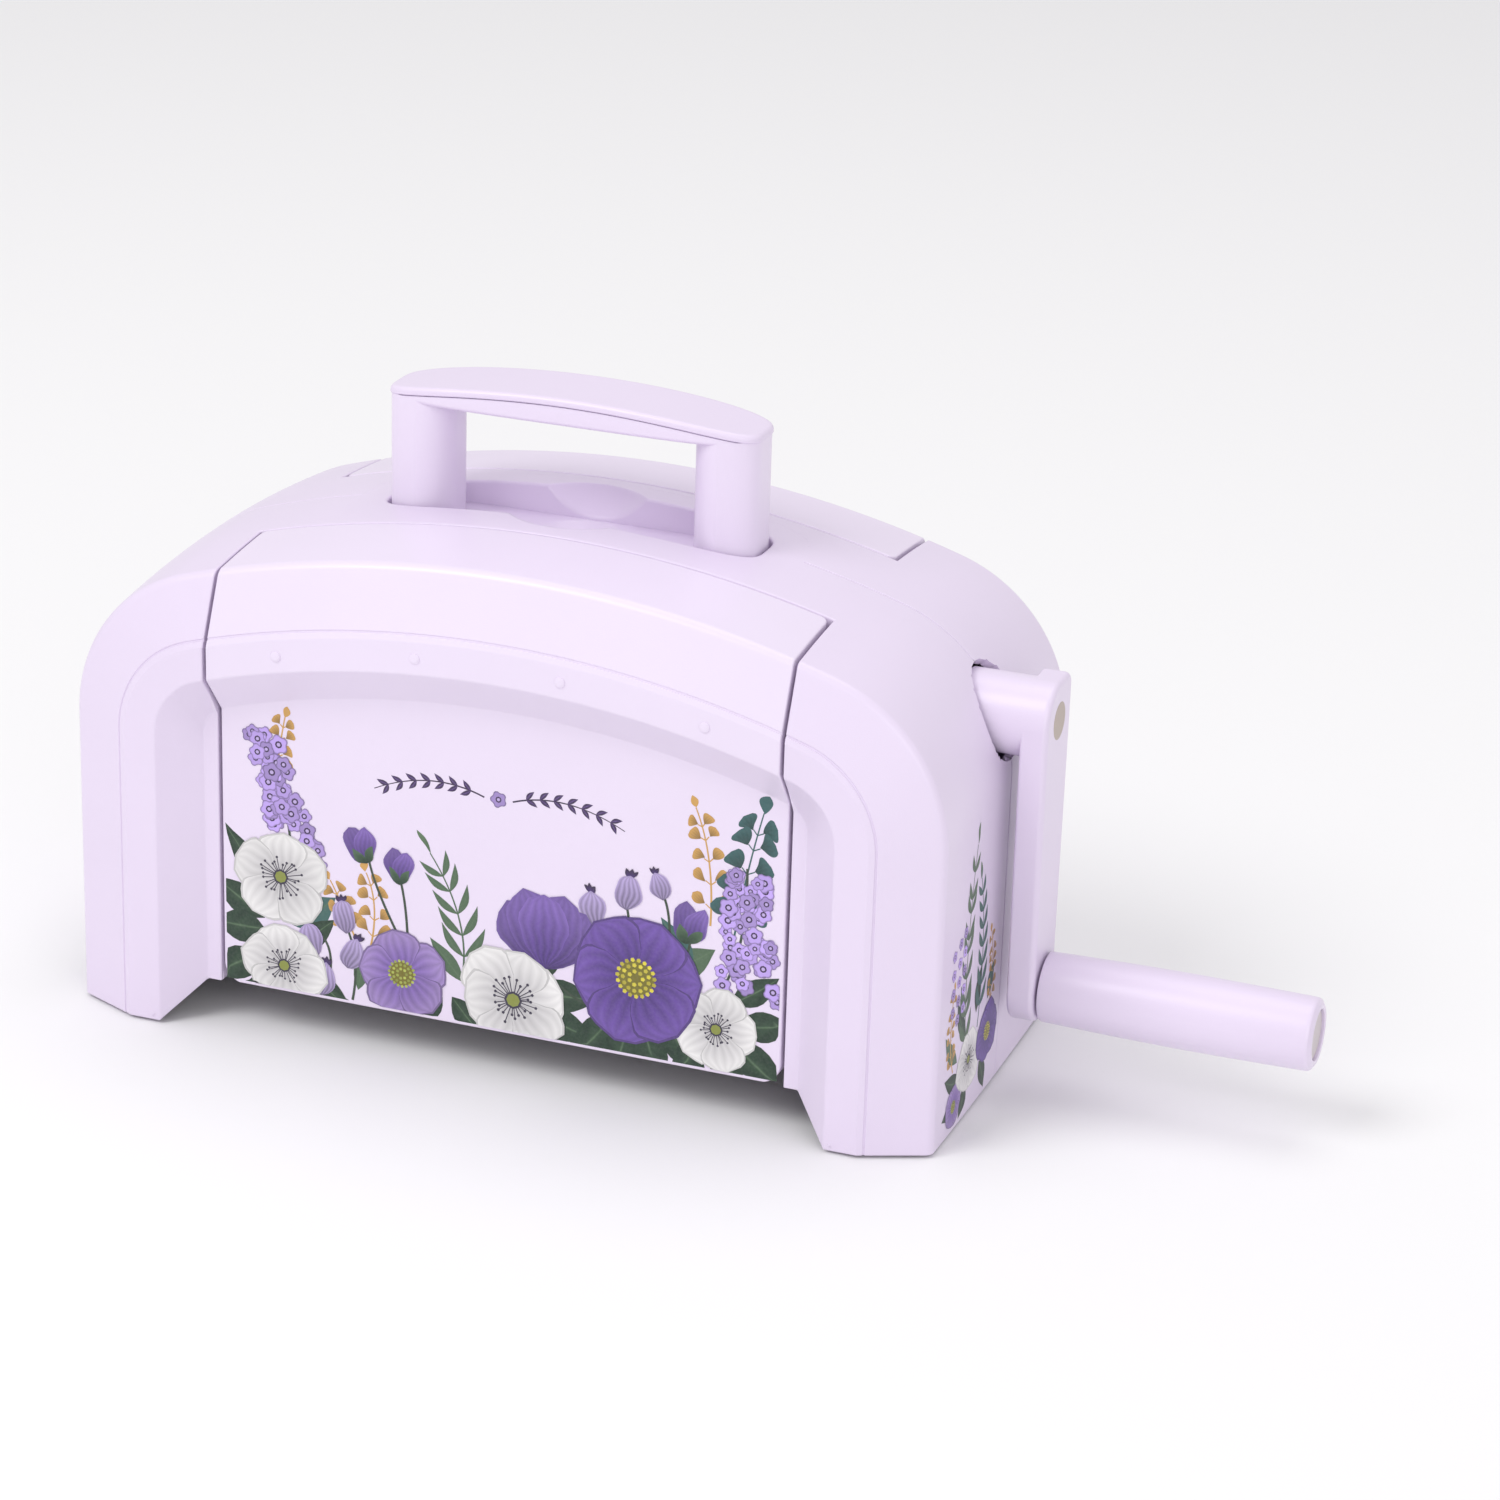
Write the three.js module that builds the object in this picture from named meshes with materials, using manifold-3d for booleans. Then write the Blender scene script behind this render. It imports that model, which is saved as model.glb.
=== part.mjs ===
// A manual die cutting and embossing machine for paper crafts, in millimetres, +Z up.
// X runs across the machine (crank at +X), -Y is the front, and z = 0 is the table that the rubber feet stand on.
// The origin is the middle of the footprint of the case. The arch-shaped case is split into two halves at y = 0.
// Its front and rear doors fold down on hinge pins and become the feed platforms on either side of the rollers.
import * as THREE from "three";
import { mergeVertices } from "three/addons/utils/BufferGeometryUtils.js";
import Module from "manifold-3d";

const wasm = await Module();
wasm.setup();

// ---- driving dimensions -------------------------------------------------------------------------------------------

const footStandOff = 1; // the rubber feet hold the case this far off the table
const wall = 3; // moulded wall thickness
const gap = 0.3; // clearance between pieces that touch
const sharp = 0.01; // how far a cutter reaches past the face that it cuts

// The arch: straight sides, round shoulders and a shallow crown, all tangent. Heights are from the case's bottom edge.
const archHalfWidth = 152;
const archHeight = 174;
const crownRadius = 377;
const shoulderRadius = 56;
const shoulderX = archHalfWidth - shoulderRadius;

// Depths from the centre plane y = 0, and how far each edge of the front lies inside the arch.
const creaseDepth = 65;
const rimDepth = 75;
const panelDepth = 64.3;
const rimOuterInset = 22.5;
const rimInnerInset = 33.5;
const panelInset = 46.5;
const bulge = 4; // the crown rises this much between the creases and the centre plane
const bulgeSpread = 0.2; // the sides widen by this share of it

const doorHalfWidth = 99.3;
const doorwayHalfWidth = 100.5;
const doorTopDepth = 32; // the door wraps over the crown as far as this
const doorBottom = 14.3;
const doorSeam = 0.7;
const platformThickness = 2;
const hingeDepth = 44;
const hingeHeight = 32;
const hingePinRadius = 2.5;

const rollerRadius = 14;
const rollerHalfLength = 95;
const lowerRollerZ = 30;
const upperRollerZ = 74;
const journalRadius = 7;
const feedHeight = lowerRollerZ + rollerRadius; // top of the lower roller and of the platforms

const gearModule = 2;
const pinionTeeth = 13;
const driveTeeth = 42;
const syncTeeth = 22; // on each roller: their pitch circles meet half way between the rollers
const crankZ = upperRollerZ + (gearModule * (pinionTeeth + driveTeeth)) / 2;
const crankShaftRadius = 5.5;

const sidePlateX = 104.5;
const sidePlateThickness = 4;
const outerPlateX = 129.5;
const outerPlateThickness = 4;

const hubRadius = 13.2;
const hubStartX = 136.3;
const headCorner = 4; // the arm's top is round in front and squarer behind
const hubHoleRadius = 15.7;
const armInnerX = 158.3;
const armOuterX = 167.5;
const armHalfWidth = 12;
const gripZ = 35.5;
const gripRadius = 12.6; // at its fullest
const gripStartX = 168.4;
const gripEndX = 260;
const spindleRadius = 4.2;

const handleHalfLength = 65.2;
const handleHalfWidth = 15.2;
const handleTop = 217.8;
const handleUnderside = 208.5;
const handleCapThickness = 2.6;
const postInnerX = 42.3;
const postCorner = 10.5;
const postBottom = 145;
const slotGap = 0.7; // all round the handle, so that it sinks flush into the crown
const slotFloor = 167.3;
const wellBottom = 160.5;
const guideBottom = 147.5;
const scoopRadius = 27.2; // a finger scoop: a ball pressed into the crown and the slot
const scoopCentreZ = 190.3;

const lowerTie = { y: 20, z: 24 };
const upperTie = { y: 22.5, z: 104 };

// ---- materials ----------------------------------------------------------------------------------------------------

const plastic = (color, roughness) => new THREE.MeshStandardMaterial({ color, roughness, metalness: 0 });
const metal = (color, roughness) => new THREE.MeshStandardMaterial({ color, roughness, metalness: 1 });
const lilac = plastic(0xe4d8ee, 0.4);
const paleLilac = plastic(0xeee6f4, 0.35);
const greyPlastic = plastic(0xb9b2c2, 0.5);
const blackNylon = plastic(0x2c2a30, 0.5);
const rubber = plastic(0x3a383d, 0.85);
const capBeige = plastic(0xc9bfae, 0.45);
const steel = metal(0xb8bcc2, 0.3);
const zincPlate = metal(0xa7a9a6, 0.45);
const bronze = metal(0xb08a4e, 0.4);

// ---- solids -------------------------------------------------------------------------------------------------------

// Turns a closed three.js geometry into a solid that can be cut and joined.
function solidOf(geometry, matrix) {
  const positions = geometry.index ? geometry.toNonIndexed() : geometry.clone();
  if (matrix) positions.applyMatrix4(matrix);
  for (const name of Object.keys(positions.attributes)) {
    if (name !== "position") positions.deleteAttribute(name);
  }
  const merged = mergeVertices(positions, 1e-4);
  const triVerts = new Uint32Array(merged.index.array);
  return new wasm.Manifold(
    new wasm.Mesh({ numProp: 3, vertProperties: merged.attributes.position.array, triVerts }),
  );
}

function geometryOf(solid) {
  const mesh = solid.getMesh();
  const positions = new Float32Array(mesh.numVert * 3);
  for (let i = 0; i < mesh.numVert; i += 1) {
    positions.set(mesh.vertProperties.subarray(i * mesh.numProp, i * mesh.numProp + 3), i * 3);
  }
  const geometry = new THREE.BufferGeometry();
  geometry.setAttribute("position", new THREE.BufferAttribute(positions, 3));
  geometry.setIndex(new THREE.BufferAttribute(mesh.triVerts, 1));
  geometry.computeVertexNormals();
  return geometry;
}

const moved = (x, y, z) => new THREE.Matrix4().makeTranslation(x, y, z);

// A box between two values on each axis, given in either order.
function box([x0, x1], [y0, y1], [z0, z1]) {
  const geometry = new THREE.BoxGeometry(Math.abs(x1 - x0), Math.abs(y1 - y0), Math.abs(z1 - z0));
  return solidOf(geometry, moved((x0 + x1) / 2, (y0 + y1) / 2, (z0 + z1) / 2));
}

// A shape drawn in the plane across an axis, extruded between two places on it. The shape's own x and y become
// y and z across the X axis, x and z across the Y axis, and x and y across the Z axis.
const axisBasis = {
  x: new THREE.Matrix4().makeBasis(
    new THREE.Vector3(0, 1, 0),
    new THREE.Vector3(0, 0, 1),
    new THREE.Vector3(1, 0, 0),
  ),
  y: new THREE.Matrix4().makeBasis(
    new THREE.Vector3(1, 0, 0),
    new THREE.Vector3(0, 0, 1),
    new THREE.Vector3(0, -1, 0),
  ),
  z: new THREE.Matrix4(),
};

function prism(shape, axis, from, to, curveSegments = 8) {
  const low = Math.min(from, to);
  const high = Math.max(from, to);
  const geometry = new THREE.ExtrudeGeometry(shape, { depth: high - low, bevelEnabled: false, curveSegments });
  const start = axis === "y" ? -high : low;
  return solidOf(geometry, axisBasis[axis].clone().multiply(moved(0, 0, start)));
}

function circle(radius, cx = 0, cy = 0) {
  const shape = new THREE.Shape();
  shape.absarc(cx, cy, radius, 0, Math.PI * 2);
  return shape;
}

function ring(outer, inner, cx = 0, cy = 0) {
  const shape = circle(outer, cx, cy);
  shape.holes.push(circle(inner, cx, cy));
  return shape;
}

// A straight-sided slot shape with round ends, along its own x axis.
function stadium(halfLength, halfWidth, cx = 0) {
  const shape = new THREE.Shape();
  const straight = halfLength - halfWidth;
  shape.absarc(cx + straight, 0, halfWidth, -Math.PI / 2, Math.PI / 2);
  shape.absarc(cx - straight, 0, halfWidth, Math.PI / 2, (3 * Math.PI) / 2);
  shape.closePath();
  return shape;
}

const polygon = (points) => new THREE.Shape(points.map(([x, y]) => new THREE.Vector2(x, y)));

const rodX = (radius, from, to, y, z, segments = 12) => prism(circle(radius, y, z), "x", from, to, segments);

// A solid of revolution about a line along X. The profile holds [distance along X, radius] and starts and ends on it.
function turnedX(profile, y, z, segments = 24) {
  const points = profile.map(([along, radius]) => new THREE.Vector2(radius, along));
  const geometry = new THREE.LatheGeometry(points, segments);
  return solidOf(geometry, moved(0, y, z).multiply(new THREE.Matrix4().makeRotationZ(-Math.PI / 2)));
}

// ---- the arch -----------------------------------------------------------------------------------------------------

const bulgeAt = (depth) => bulge * (1 - Math.min(1, Math.abs(depth) / creaseDepth) ** 2);

// The outline of the arch in x and z, from the bottom right round to the bottom left.
// An inset below zero lies inside the arch; rise lifts the crown and the shoulders.
function archOutline(inset, rise = 0) {
  const centreX = shoulderX + rise * bulgeSpread;
  const crownCentreZ = archHeight + rise - crownRadius;
  const shoulderZ = crownCentreZ + Math.sqrt((crownRadius - shoulderRadius) ** 2 - centreX ** 2);
  const lean = Math.atan2(centreX, shoulderZ - crownCentreZ);
  const shoulderSteps = 6;
  const crownSteps = 8;
  const right = [];
  const radius = shoulderRadius - inset;
  for (let i = 0; i <= shoulderSteps; i += 1) {
    const turn = (i / shoulderSteps) * (Math.PI / 2 - lean);
    right.push([centreX + radius * Math.cos(turn), shoulderZ + radius * Math.sin(turn)]);
  }
  const crown = [];
  for (let i = 1; i < crownSteps; i += 1) {
    const turn = lean - (2 * lean * i) / crownSteps;
    const reach = crownRadius - inset;
    crown.push([reach * Math.sin(turn), crownCentreZ + reach * Math.cos(turn)]);
  }
  const left = right.map(([x, z]) => [-x, z]).reverse();
  return [[right[0][0], 0], ...right, ...crown, ...left, [left.at(-1)[0], 0]];
}

// Joins arch outlines at several depths into one closed solid. Each row is [y, inset, rise].
function archLoft(rows) {
  const sorted = [...rows].sort((a, b) => a[0] - b[0]);
  const outlines = sorted.map(([, inset, rise]) => archOutline(inset, rise));
  const count = outlines[0].length;
  const positions = [];
  sorted.forEach(([y], row) => outlines[row].forEach(([x, z]) => positions.push(x, y, z)));
  const faces = [];
  const last = (sorted.length - 1) * count;
  const cap = (outline) => THREE.ShapeUtils.triangulateShape(outline.map(([x, z]) => new THREE.Vector2(x, z)), []);
  for (const [a, b, c] of cap(outlines[0])) faces.push(a, b, c);
  for (const [a, b, c] of cap(outlines.at(-1))) faces.push(last + a, last + c, last + b);
  for (let row = 0; row + 1 < sorted.length; row += 1) {
    for (let i = 0; i < count; i += 1) {
      const a = row * count + i;
      const b = row * count + ((i + 1) % count);
      faces.push(a, a + count, b + count, a, b + count, b);
    }
  }
  const geometry = new THREE.BufferGeometry();
  geometry.setAttribute("position", new THREE.Float32BufferAttribute(positions, 3));
  geometry.setIndex(faces);
  return solidOf(geometry);
}

const bulgeDepths = [50, doorTopDepth, 15];

// The outer form of one half of the machine, front (side -1) or rear (side 1), from the rim back to a depth.
function halfForm(side, backDepth) {
  const between = bulgeDepths.filter((depth) => depth > backDepth);
  return archLoft([
    [side * rimDepth, rimOuterInset, 0],
    [side * creaseDepth, 0, 0],
    ...between.map((depth) => [side * depth, 0, bulgeAt(depth)]),
    [side * backDepth, 0, bulgeAt(backDepth)],
  ]);
}

// What lies a wall's thickness inside that form.
function halfHollow(side, backDepth) {
  return archLoft([
    [side * (rimDepth - 4.2), rimOuterInset + 3.5, 0],
    [side * (creaseDepth - 2.5), 4, 0],
    ...bulgeDepths.map((depth) => [side * depth, wall, bulgeAt(depth)]),
    [side * backDepth, wall, bulgeAt(backDepth)],
  ]);
}

// The dished front: a bevel from the rim back to the panel. Grow moves it into the material behind.
function frontRecess(side, grow = 0) {
  const bevelDepth = rimDepth - panelDepth;
  const bevelWidth = panelInset - rimInnerInset;
  const length = Math.hypot(bevelDepth, bevelWidth);
  const inset = panelInset - (grow * bevelDepth) / length + (grow * (length - bevelWidth)) / length;
  const reach = 2 * bevelDepth;
  return archLoft([
    [side * (panelDepth - grow + reach), inset - (reach * bevelWidth) / bevelDepth, 0],
    [side * (panelDepth - grow), inset, 0],
  ]);
}

const acrossDoorway = [-doorwayHalfWidth, doorwayHalfWidth];
const allHeights = [-5, 240];

// ---- case ---------------------------------------------------------------------------------------------------------

// The open space under the doors, whose sides slope up from the rim to the bottom of each door.
function legOpening(hand, grow = 0) {
  const low = archHalfWidth - rimInnerInset + 1.4 * grow;
  const high = archHalfWidth - panelInset + 0.4 * grow;
  const top = doorBottom - 0.8 + grow;
  return prism(
    polygon([
      [hand * (low + 1), -1],
      [hand * low, 0],
      [hand * high, top],
      [hand * 90, top],
      [hand * 90, -1],
    ]),
    "y",
    -90,
    90,
  );
}

function caseHalf(side) {
  const seamY = (side * gap) / 2;
  const innerWall = doorwayHalfWidth + wall;
  const form = halfForm(side, gap / 2);
  const doorway = box(acrossDoorway, [side * 100, side * (doorTopDepth - doorSeam)], allHeights);
  const pillars = halfHollow(side, -1)
    .subtract(frontRecess(side, wall))
    .subtract(box([-innerWall, innerWall], [-100, 100], allHeights))
    .subtract(legOpening(1, wall))
    .subtract(legOpening(-1, wall));
  const midBand = halfHollow(side, -1).intersect(
    box(acrossDoorway, [side * doorTopDepth, -side], [-5, 240]),
  );
  let half = form.subtract(frontRecess(side)).subtract(doorway).subtract(pillars).subtract(midBand);
  for (const hand of [-1, 1]) half = half.subtract(legOpening(hand));
  for (const z of [lowerRollerZ, upperRollerZ]) half = half.subtract(rodX(11, -120, 120, 0, z));
  half = half.subtract(rodX(8, 90, 120, 0, crankZ));
  half = half.subtract(rodX(hubHoleRadius, 120, 170, 0, crankZ, 8));
  half = half.subtract(rodX(hingePinRadius + gap, -112, 112, side * hingeDepth, hingeHeight, 6));
  half = half.subtract(prism(handlePlan(-slotGap), "z", 150, 200)).subtract(scoop());
  for (const { y, z } of [lowerTie, upperTie]) half = half.subtract(rodX(6, -120, 120, side * y, z, 6));
  return half.subtract(box([-200, 200], [seamY, -side * 10], allHeights));
}

// ---- doors --------------------------------------------------------------------------------------------------------

function door(side) {
  const across = [-doorHalfWidth, doorHalfWidth];
  const hollowAcross = [wall - doorHalfWidth, doorHalfWidth - wall];
  const body = halfForm(side, doorTopDepth)
    .intersect(box(across, [-100, 100], [doorBottom, 240]))
    .subtract(frontRecess(side));
  const hollow = halfHollow(side, doorTopDepth - 1)
    .subtract(frontRecess(side, wall))
    .intersect(box(hollowAcross, [-100, 100], [doorBottom + wall, 240]));
  const openBottom = box(hollowAcross, [side * (panelDepth - wall), side * 20], [0, doorBottom + wall + sharp]);
  const pinHoles = rodX(hingePinRadius + gap, -110, 110, side * hingeDepth, hingeHeight, 6);
  let shell = body.subtract(hollow).subtract(openBottom).subtract(pinHoles);
  // Four small nubs on the rim, which the open door stands on.
  for (const x of [-74, -25, 25, 74]) {
    const z = archHeight - (rimOuterInset + rimInnerInset) / 2 - (x * x) / (2 * crownRadius);
    const nub = solidOf(new THREE.SphereGeometry(2, 12, 8), moved(x, side * (rimDepth - 1.2), z));
    shell = shell.add(nub);
  }
  return shell;
}

// The feed platform: a flat sheet that closes the inside of the door, level with the lower roller once it is open.
function platform(side) {
  const half = doorHalfWidth - wall - gap;
  const reach = halfHollow(side, doorTopDepth - 1);
  const sheet = box([-half, half], [side * doorTopDepth, side * (doorTopDepth + platformThickness)], [22, 170]);
  const inside = archLoft([
    [side * 30, wall + gap, bulgeAt(doorTopDepth) - gap],
    [side * 36, wall + gap, bulgeAt(doorTopDepth) - gap],
  ]);
  return sheet.intersect(reach).intersect(inside);
}

// ---- frame inside -------------------------------------------------------------------------------------------------

// A steel side plate: wide at the foot, where the hinge pins go, and narrower above the feed.
function sidePlate(hand) {
  const outline = polygon([
    [-52, 17.6],
    [52, 17.6],
    [52, 56],
    [38, 70],
    [38, 136],
    [28, 146],
    [-28, 146],
    [-38, 136],
    [-38, 70],
    [-52, 56],
  ]);
  for (const z of [lowerRollerZ, upperRollerZ]) outline.holes.push(circle(10.3, 0, z));
  for (const y of [-hingeDepth, hingeDepth]) outline.holes.push(circle(hingePinRadius + gap, y, hingeHeight));
  for (const { y, z } of [lowerTie, upperTie]) outline.holes.push(circle(3, y, z), circle(3, -y, z));
  if (hand > 0) {
    outline.holes.push(circle(8.3, 0, crankZ));
    for (const y of [-32, 32]) outline.holes.push(circle(2.3, y, 122));
  }
  return prism(outline, "x", hand * sidePlateX, hand * (sidePlateX + sidePlateThickness), 8);
}

function outerBearingPlate() {
  const outline = new THREE.Shape();
  outline.absarc(32, 122, 7, -Math.PI / 2, Math.PI / 4);
  outline.absarc(0, crankZ, 12, Math.PI / 4, (3 * Math.PI) / 4);
  outline.absarc(-32, 122, 7, (3 * Math.PI) / 4, (3 * Math.PI) / 2);
  outline.closePath();
  outline.holes.push(circle(8.3, 0, crankZ));
  for (const y of [-32, 32]) outline.holes.push(circle(2.3, y, 122));
  return prism(outline, "x", outerPlateX, outerPlateX + outerPlateThickness, 8);
}

// A spacer with a spigot at each end, between the right side plate and the outer bearing plate.
function gearboxSpacer(y) {
  const start = sidePlateX + sidePlateThickness;
  const profile = [
    [start - 4, 0],
    [start - 4, 2],
    [start + gap, 2],
    [start + gap, 4],
    [outerPlateX - gap, 4],
    [outerPlateX - gap, 2],
    [outerPlateX + 4, 2],
    [outerPlateX + 4, 0],
  ];
  return turnedX(profile, y, 122, 16);
}

// A tie rod with turned-down ends that pass through both side plates.
function tieRod(y, z) {
  const shoulder = sidePlateX - gap;
  const end = sidePlateX + sidePlateThickness + 2.5;
  const profile = [
    [-end, 0],
    [-end, 2.6],
    [-shoulder, 2.6],
    [-shoulder, 4],
    [shoulder, 4],
    [shoulder, 2.6],
    [end, 2.6],
    [end, 0],
  ];
  return turnedX(profile, y, z, 16);
}

// A flanged bush in a side plate. Hand 1 puts the flange on the plate's right face, -1 on its left face.
function flangedBush(plateX, thickness, hand, bore, body, flange, z) {
  const inner = plateX - hand * 0.4;
  const face = plateX + hand * (thickness + gap / 2);
  const tip = face + hand * 1.5;
  return prism(ring(body, bore, 0, z), "x", inner, tip, 10).add(
    prism(ring(flange, bore, 0, z), "x", face, tip, 10),
  );
}

function hood(side) {
  const half = doorwayHalfWidth - gap;
  const upright = box([-half, half], [side * 30, side * 28], [64, 200]);
  const lip = box([-half, half], [side * 29, side * 15], [64, 66]);
  const underCrown = archLoft([
    [side * 10, wall + gap, bulgeAt(30) - gap],
    [side * 31, wall + gap, bulgeAt(30) - gap],
  ]);
  return upright.add(lip).intersect(underCrown);
}

function feedSill(side) {
  const half = rollerHalfLength + 0.5;
  const top = box([-half, half], [side * 30, side * 11.5], [feedHeight - 3, feedHeight]);
  const web = box([-half, half], [side * 26.5, side * 24.5], [17, feedHeight - 1]);
  return top.add(web);
}

const scoop = () => solidOf(new THREE.SphereGeometry(scoopRadius, 28, 14), moved(0, 0, scoopCentreZ));

// The tray under the crown that the handle sinks into, with a wall round the slot and round the finger scoop.
function handleWell() {
  const under = archLoft([
    [-31, wall + gap, bulgeAt(31) - gap],
    [0, wall + gap, bulge - gap],
    [31, wall + gap, bulgeAt(31) - gap],
  ]);
  const round = prism(circle(scoopRadius - 0.5), "z", wellBottom, 200, 24);
  let well = prism(handlePlan(-slotGap - 2.2), "z", wellBottom, 200).add(round).intersect(under);
  well = well.subtract(prism(handlePlan(-slotGap), "z", slotFloor, 201)).subtract(scoop());
  for (const hand of [-1, 1]) well = well.subtract(postPrism(hand, gap, 150, 201));
  return well;
}

// One of the handle's posts: an end of the handle's plan, with its inner corners rounded.
function postPrism(hand, grow, from, to) {
  const start = postInnerX - grow;
  const half = handlePlanWidth(postInnerX) + grow;
  const shape = new THREE.Shape();
  shape.moveTo(90, -half);
  shape.lineTo(90, half);
  shape.lineTo(start + postCorner, half);
  shape.absarc(start + postCorner, half - postCorner, postCorner, Math.PI / 2, Math.PI);
  shape.absarc(start + postCorner, postCorner - half, postCorner, Math.PI, 1.5 * Math.PI);
  shape.closePath();
  const block = prism(shape, "z", from, to, 5).intersect(prism(handlePlan(0.4 - grow), "z", from, to));
  return hand > 0 ? block : block.mirror([1, 0, 0]);
}

function postGuide(hand) {
  const outer = postPrism(hand, 3, guideBottom, wellBottom - gap);
  return outer.subtract(postPrism(hand, gap, 100, 200));
}

function legPlate(hand) {
  return box([hand * 122, hand * 147.5], [-58, 58], [3, 5.5]);
}

const baseBar = () => box([-112.5, 112.5], [-12, 12], [3, 5.5]);

function foot(x, y) {
  const shape = new THREE.LatheGeometry(
    [
      [0, -footStandOff],
      [7, -footStandOff],
      [8, 0],
      [8, 2.7],
      [0, 2.7],
    ].map(([radius, z]) => new THREE.Vector2(radius, z)),
    24,
  );
  const upright = new THREE.Matrix4().makeRotationX(Math.PI / 2);
  return solidOf(shape, moved(x, y, 0).multiply(upright));
}

function hingePin(hand, side) {
  const profile = [
    [95, 0],
    [95, hingePinRadius],
    [109, hingePinRadius],
    [109, 4.5],
    [111, 4.5],
    [111, 0],
  ].map(([along, radius]) => [hand * along, radius]);
  return turnedX(hand > 0 ? profile : profile.reverse(), side * hingeDepth, hingeHeight, 6);
}

// ---- gears and rollers --------------------------------------------------------------------------------------------

// A spur gear's outline in y and z: involute flanks at 25 degrees, with a little backlash.
// The first tooth points along the angle given, and the gaps lie half a tooth's pitch to either side.
function gearShape(teeth, bore, cz, angle) {
  const pressure = (25 * Math.PI) / 180;
  const pitchRadius = (gearModule * teeth) / 2;
  const baseRadius = pitchRadius * Math.cos(pressure);
  const tipRadius = pitchRadius + 0.88 * gearModule;
  const rootRadius = pitchRadius - 1.2 * gearModule;
  const backlash = 0.16;
  const roll = (radius) => {
    const a = Math.acos(Math.min(1, baseRadius / radius));
    return Math.tan(a) - a;
  };
  const atPitch = Math.PI / (2 * teeth) - backlash / pitchRadius;
  const halfAngle = (radius) => atPitch + roll(pitchRadius) - roll(radius);
  const start = Math.max(baseRadius, rootRadius);
  const flank = [0, 0.55, 1].map((t) => start + (tipRadius - start) * t);
  const points = [];
  const put = (radius, a) => points.push(new THREE.Vector2(radius * Math.cos(a), cz + radius * Math.sin(a)));
  for (let i = 0; i < teeth; i += 1) {
    const middle = angle + (2 * Math.PI * i) / teeth;
    if (start > rootRadius) put(rootRadius, middle - halfAngle(start));
    for (const radius of flank) put(radius, middle - halfAngle(radius));
    for (const radius of [...flank].reverse()) put(radius, middle + halfAngle(radius));
    if (start > rootRadius) put(rootRadius, middle + halfAngle(start));
  }
  const shape = new THREE.Shape(points);
  shape.holes.push(circle(bore, 0, cz));
  return shape;
}

const down = -Math.PI / 2;
const journalBore = journalRadius + 0.35;

function driveGear() {
  const shape = gearShape(driveTeeth, journalBore, upperRollerZ, Math.PI / 2 + Math.PI / driveTeeth);
  for (let i = 0; i < 5; i += 1) {
    const turn = (2 * Math.PI * i) / 5;
    shape.holes.push(circle(8, 26 * Math.cos(turn), upperRollerZ + 26 * Math.sin(turn)));
  }
  const hub = prism(ring(12, journalBore, 0, upperRollerZ), "x", 112.5, 126, 12);
  return prism(shape, "x", 114, 124, 8).add(hub);
}

function syncGear(z, angle) {
  return prism(gearShape(syncTeeth, journalBore, z, angle), "x", -127, -118, 8);
}

function pinion() {
  const bore = crankShaftRadius + gap;
  const gear = prism(gearShape(pinionTeeth, bore, crankZ, down), "x", 113, 125, 12);
  return gear.add(prism(ring(9, bore, 0, crankZ), "x", 125 - sharp, 128.5, 12));
}

function roller(z, rightEnd) {
  const profile = [
    [-129, 0],
    [-129, journalRadius - 1],
    [-128, journalRadius],
    [-rollerHalfLength, journalRadius],
    [-rollerHalfLength, rollerRadius - 1],
    [1 - rollerHalfLength, rollerRadius],
    [rollerHalfLength - 1, rollerRadius],
    [rollerHalfLength, rollerRadius - 1],
    [rollerHalfLength, journalRadius],
    [rightEnd - 1, journalRadius],
    [rightEnd, journalRadius - 1],
    [rightEnd, 0],
  ];
  return turnedX(profile, 0, z, 28);
}

// ---- crank --------------------------------------------------------------------------------------------------------

function crankArm() {
  const outline = new THREE.Shape();
  outline.moveTo(hubRadius, crankZ - 3);
  outline.absarc(hubRadius - headCorner, crankZ + hubRadius - headCorner, headCorner, 0, Math.PI / 2);
  outline.absarc(0, crankZ, hubRadius, Math.PI / 2, Math.PI + 0.2);
  outline.lineTo(-armHalfWidth, crankZ - 22);
  outline.absarc(0, gripZ, armHalfWidth, Math.PI, 2 * Math.PI);
  outline.lineTo(armHalfWidth, crankZ - 22);
  outline.closePath();
  const arm = prism(outline, "x", armInnerX, armOuterX, 14);
  const hub = rodX(hubRadius, hubStartX, armInnerX + 1, 0, crankZ, 14);
  return arm
    .add(hub)
    .subtract(rodX(crankShaftRadius + gap, 130, armOuterX - 9, 0, crankZ, 8))
    .subtract(rodX(2.6, armOuterX - 10, armOuterX - 4, 0, crankZ, 10))
    .subtract(rodX(6.5, armOuterX - 5, 170, 0, crankZ, 10))
    .subtract(rodX(spindleRadius + gap, 158, 170, 0, gripZ, 10));
}

const crankShaft = () => rodX(crankShaftRadius, 103.8, armOuterX - 9.2, 0, crankZ, 8);

function crankScrew() {
  const head = rodX(5, armOuterX - 4.8, armOuterX - 2.3, 0, crankZ, 10);
  return rodX(2.2, armOuterX - 8.9, armOuterX - 4.7, 0, crankZ, 10).add(head);
}

const crankCap = () => rodX(6.2, armOuterX - 1.9, armOuterX + 0.1, 0, crankZ, 10);

function gripSpindle() {
  const profile = [
    [armInnerX + 0.2, 0],
    [armInnerX + 0.2, spindleRadius],
    [252.5, spindleRadius],
    [252.5, 6.2],
    [255, 6.2],
    [255, 0],
  ];
  return turnedX(profile, 0, gripZ, 10);
}

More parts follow.
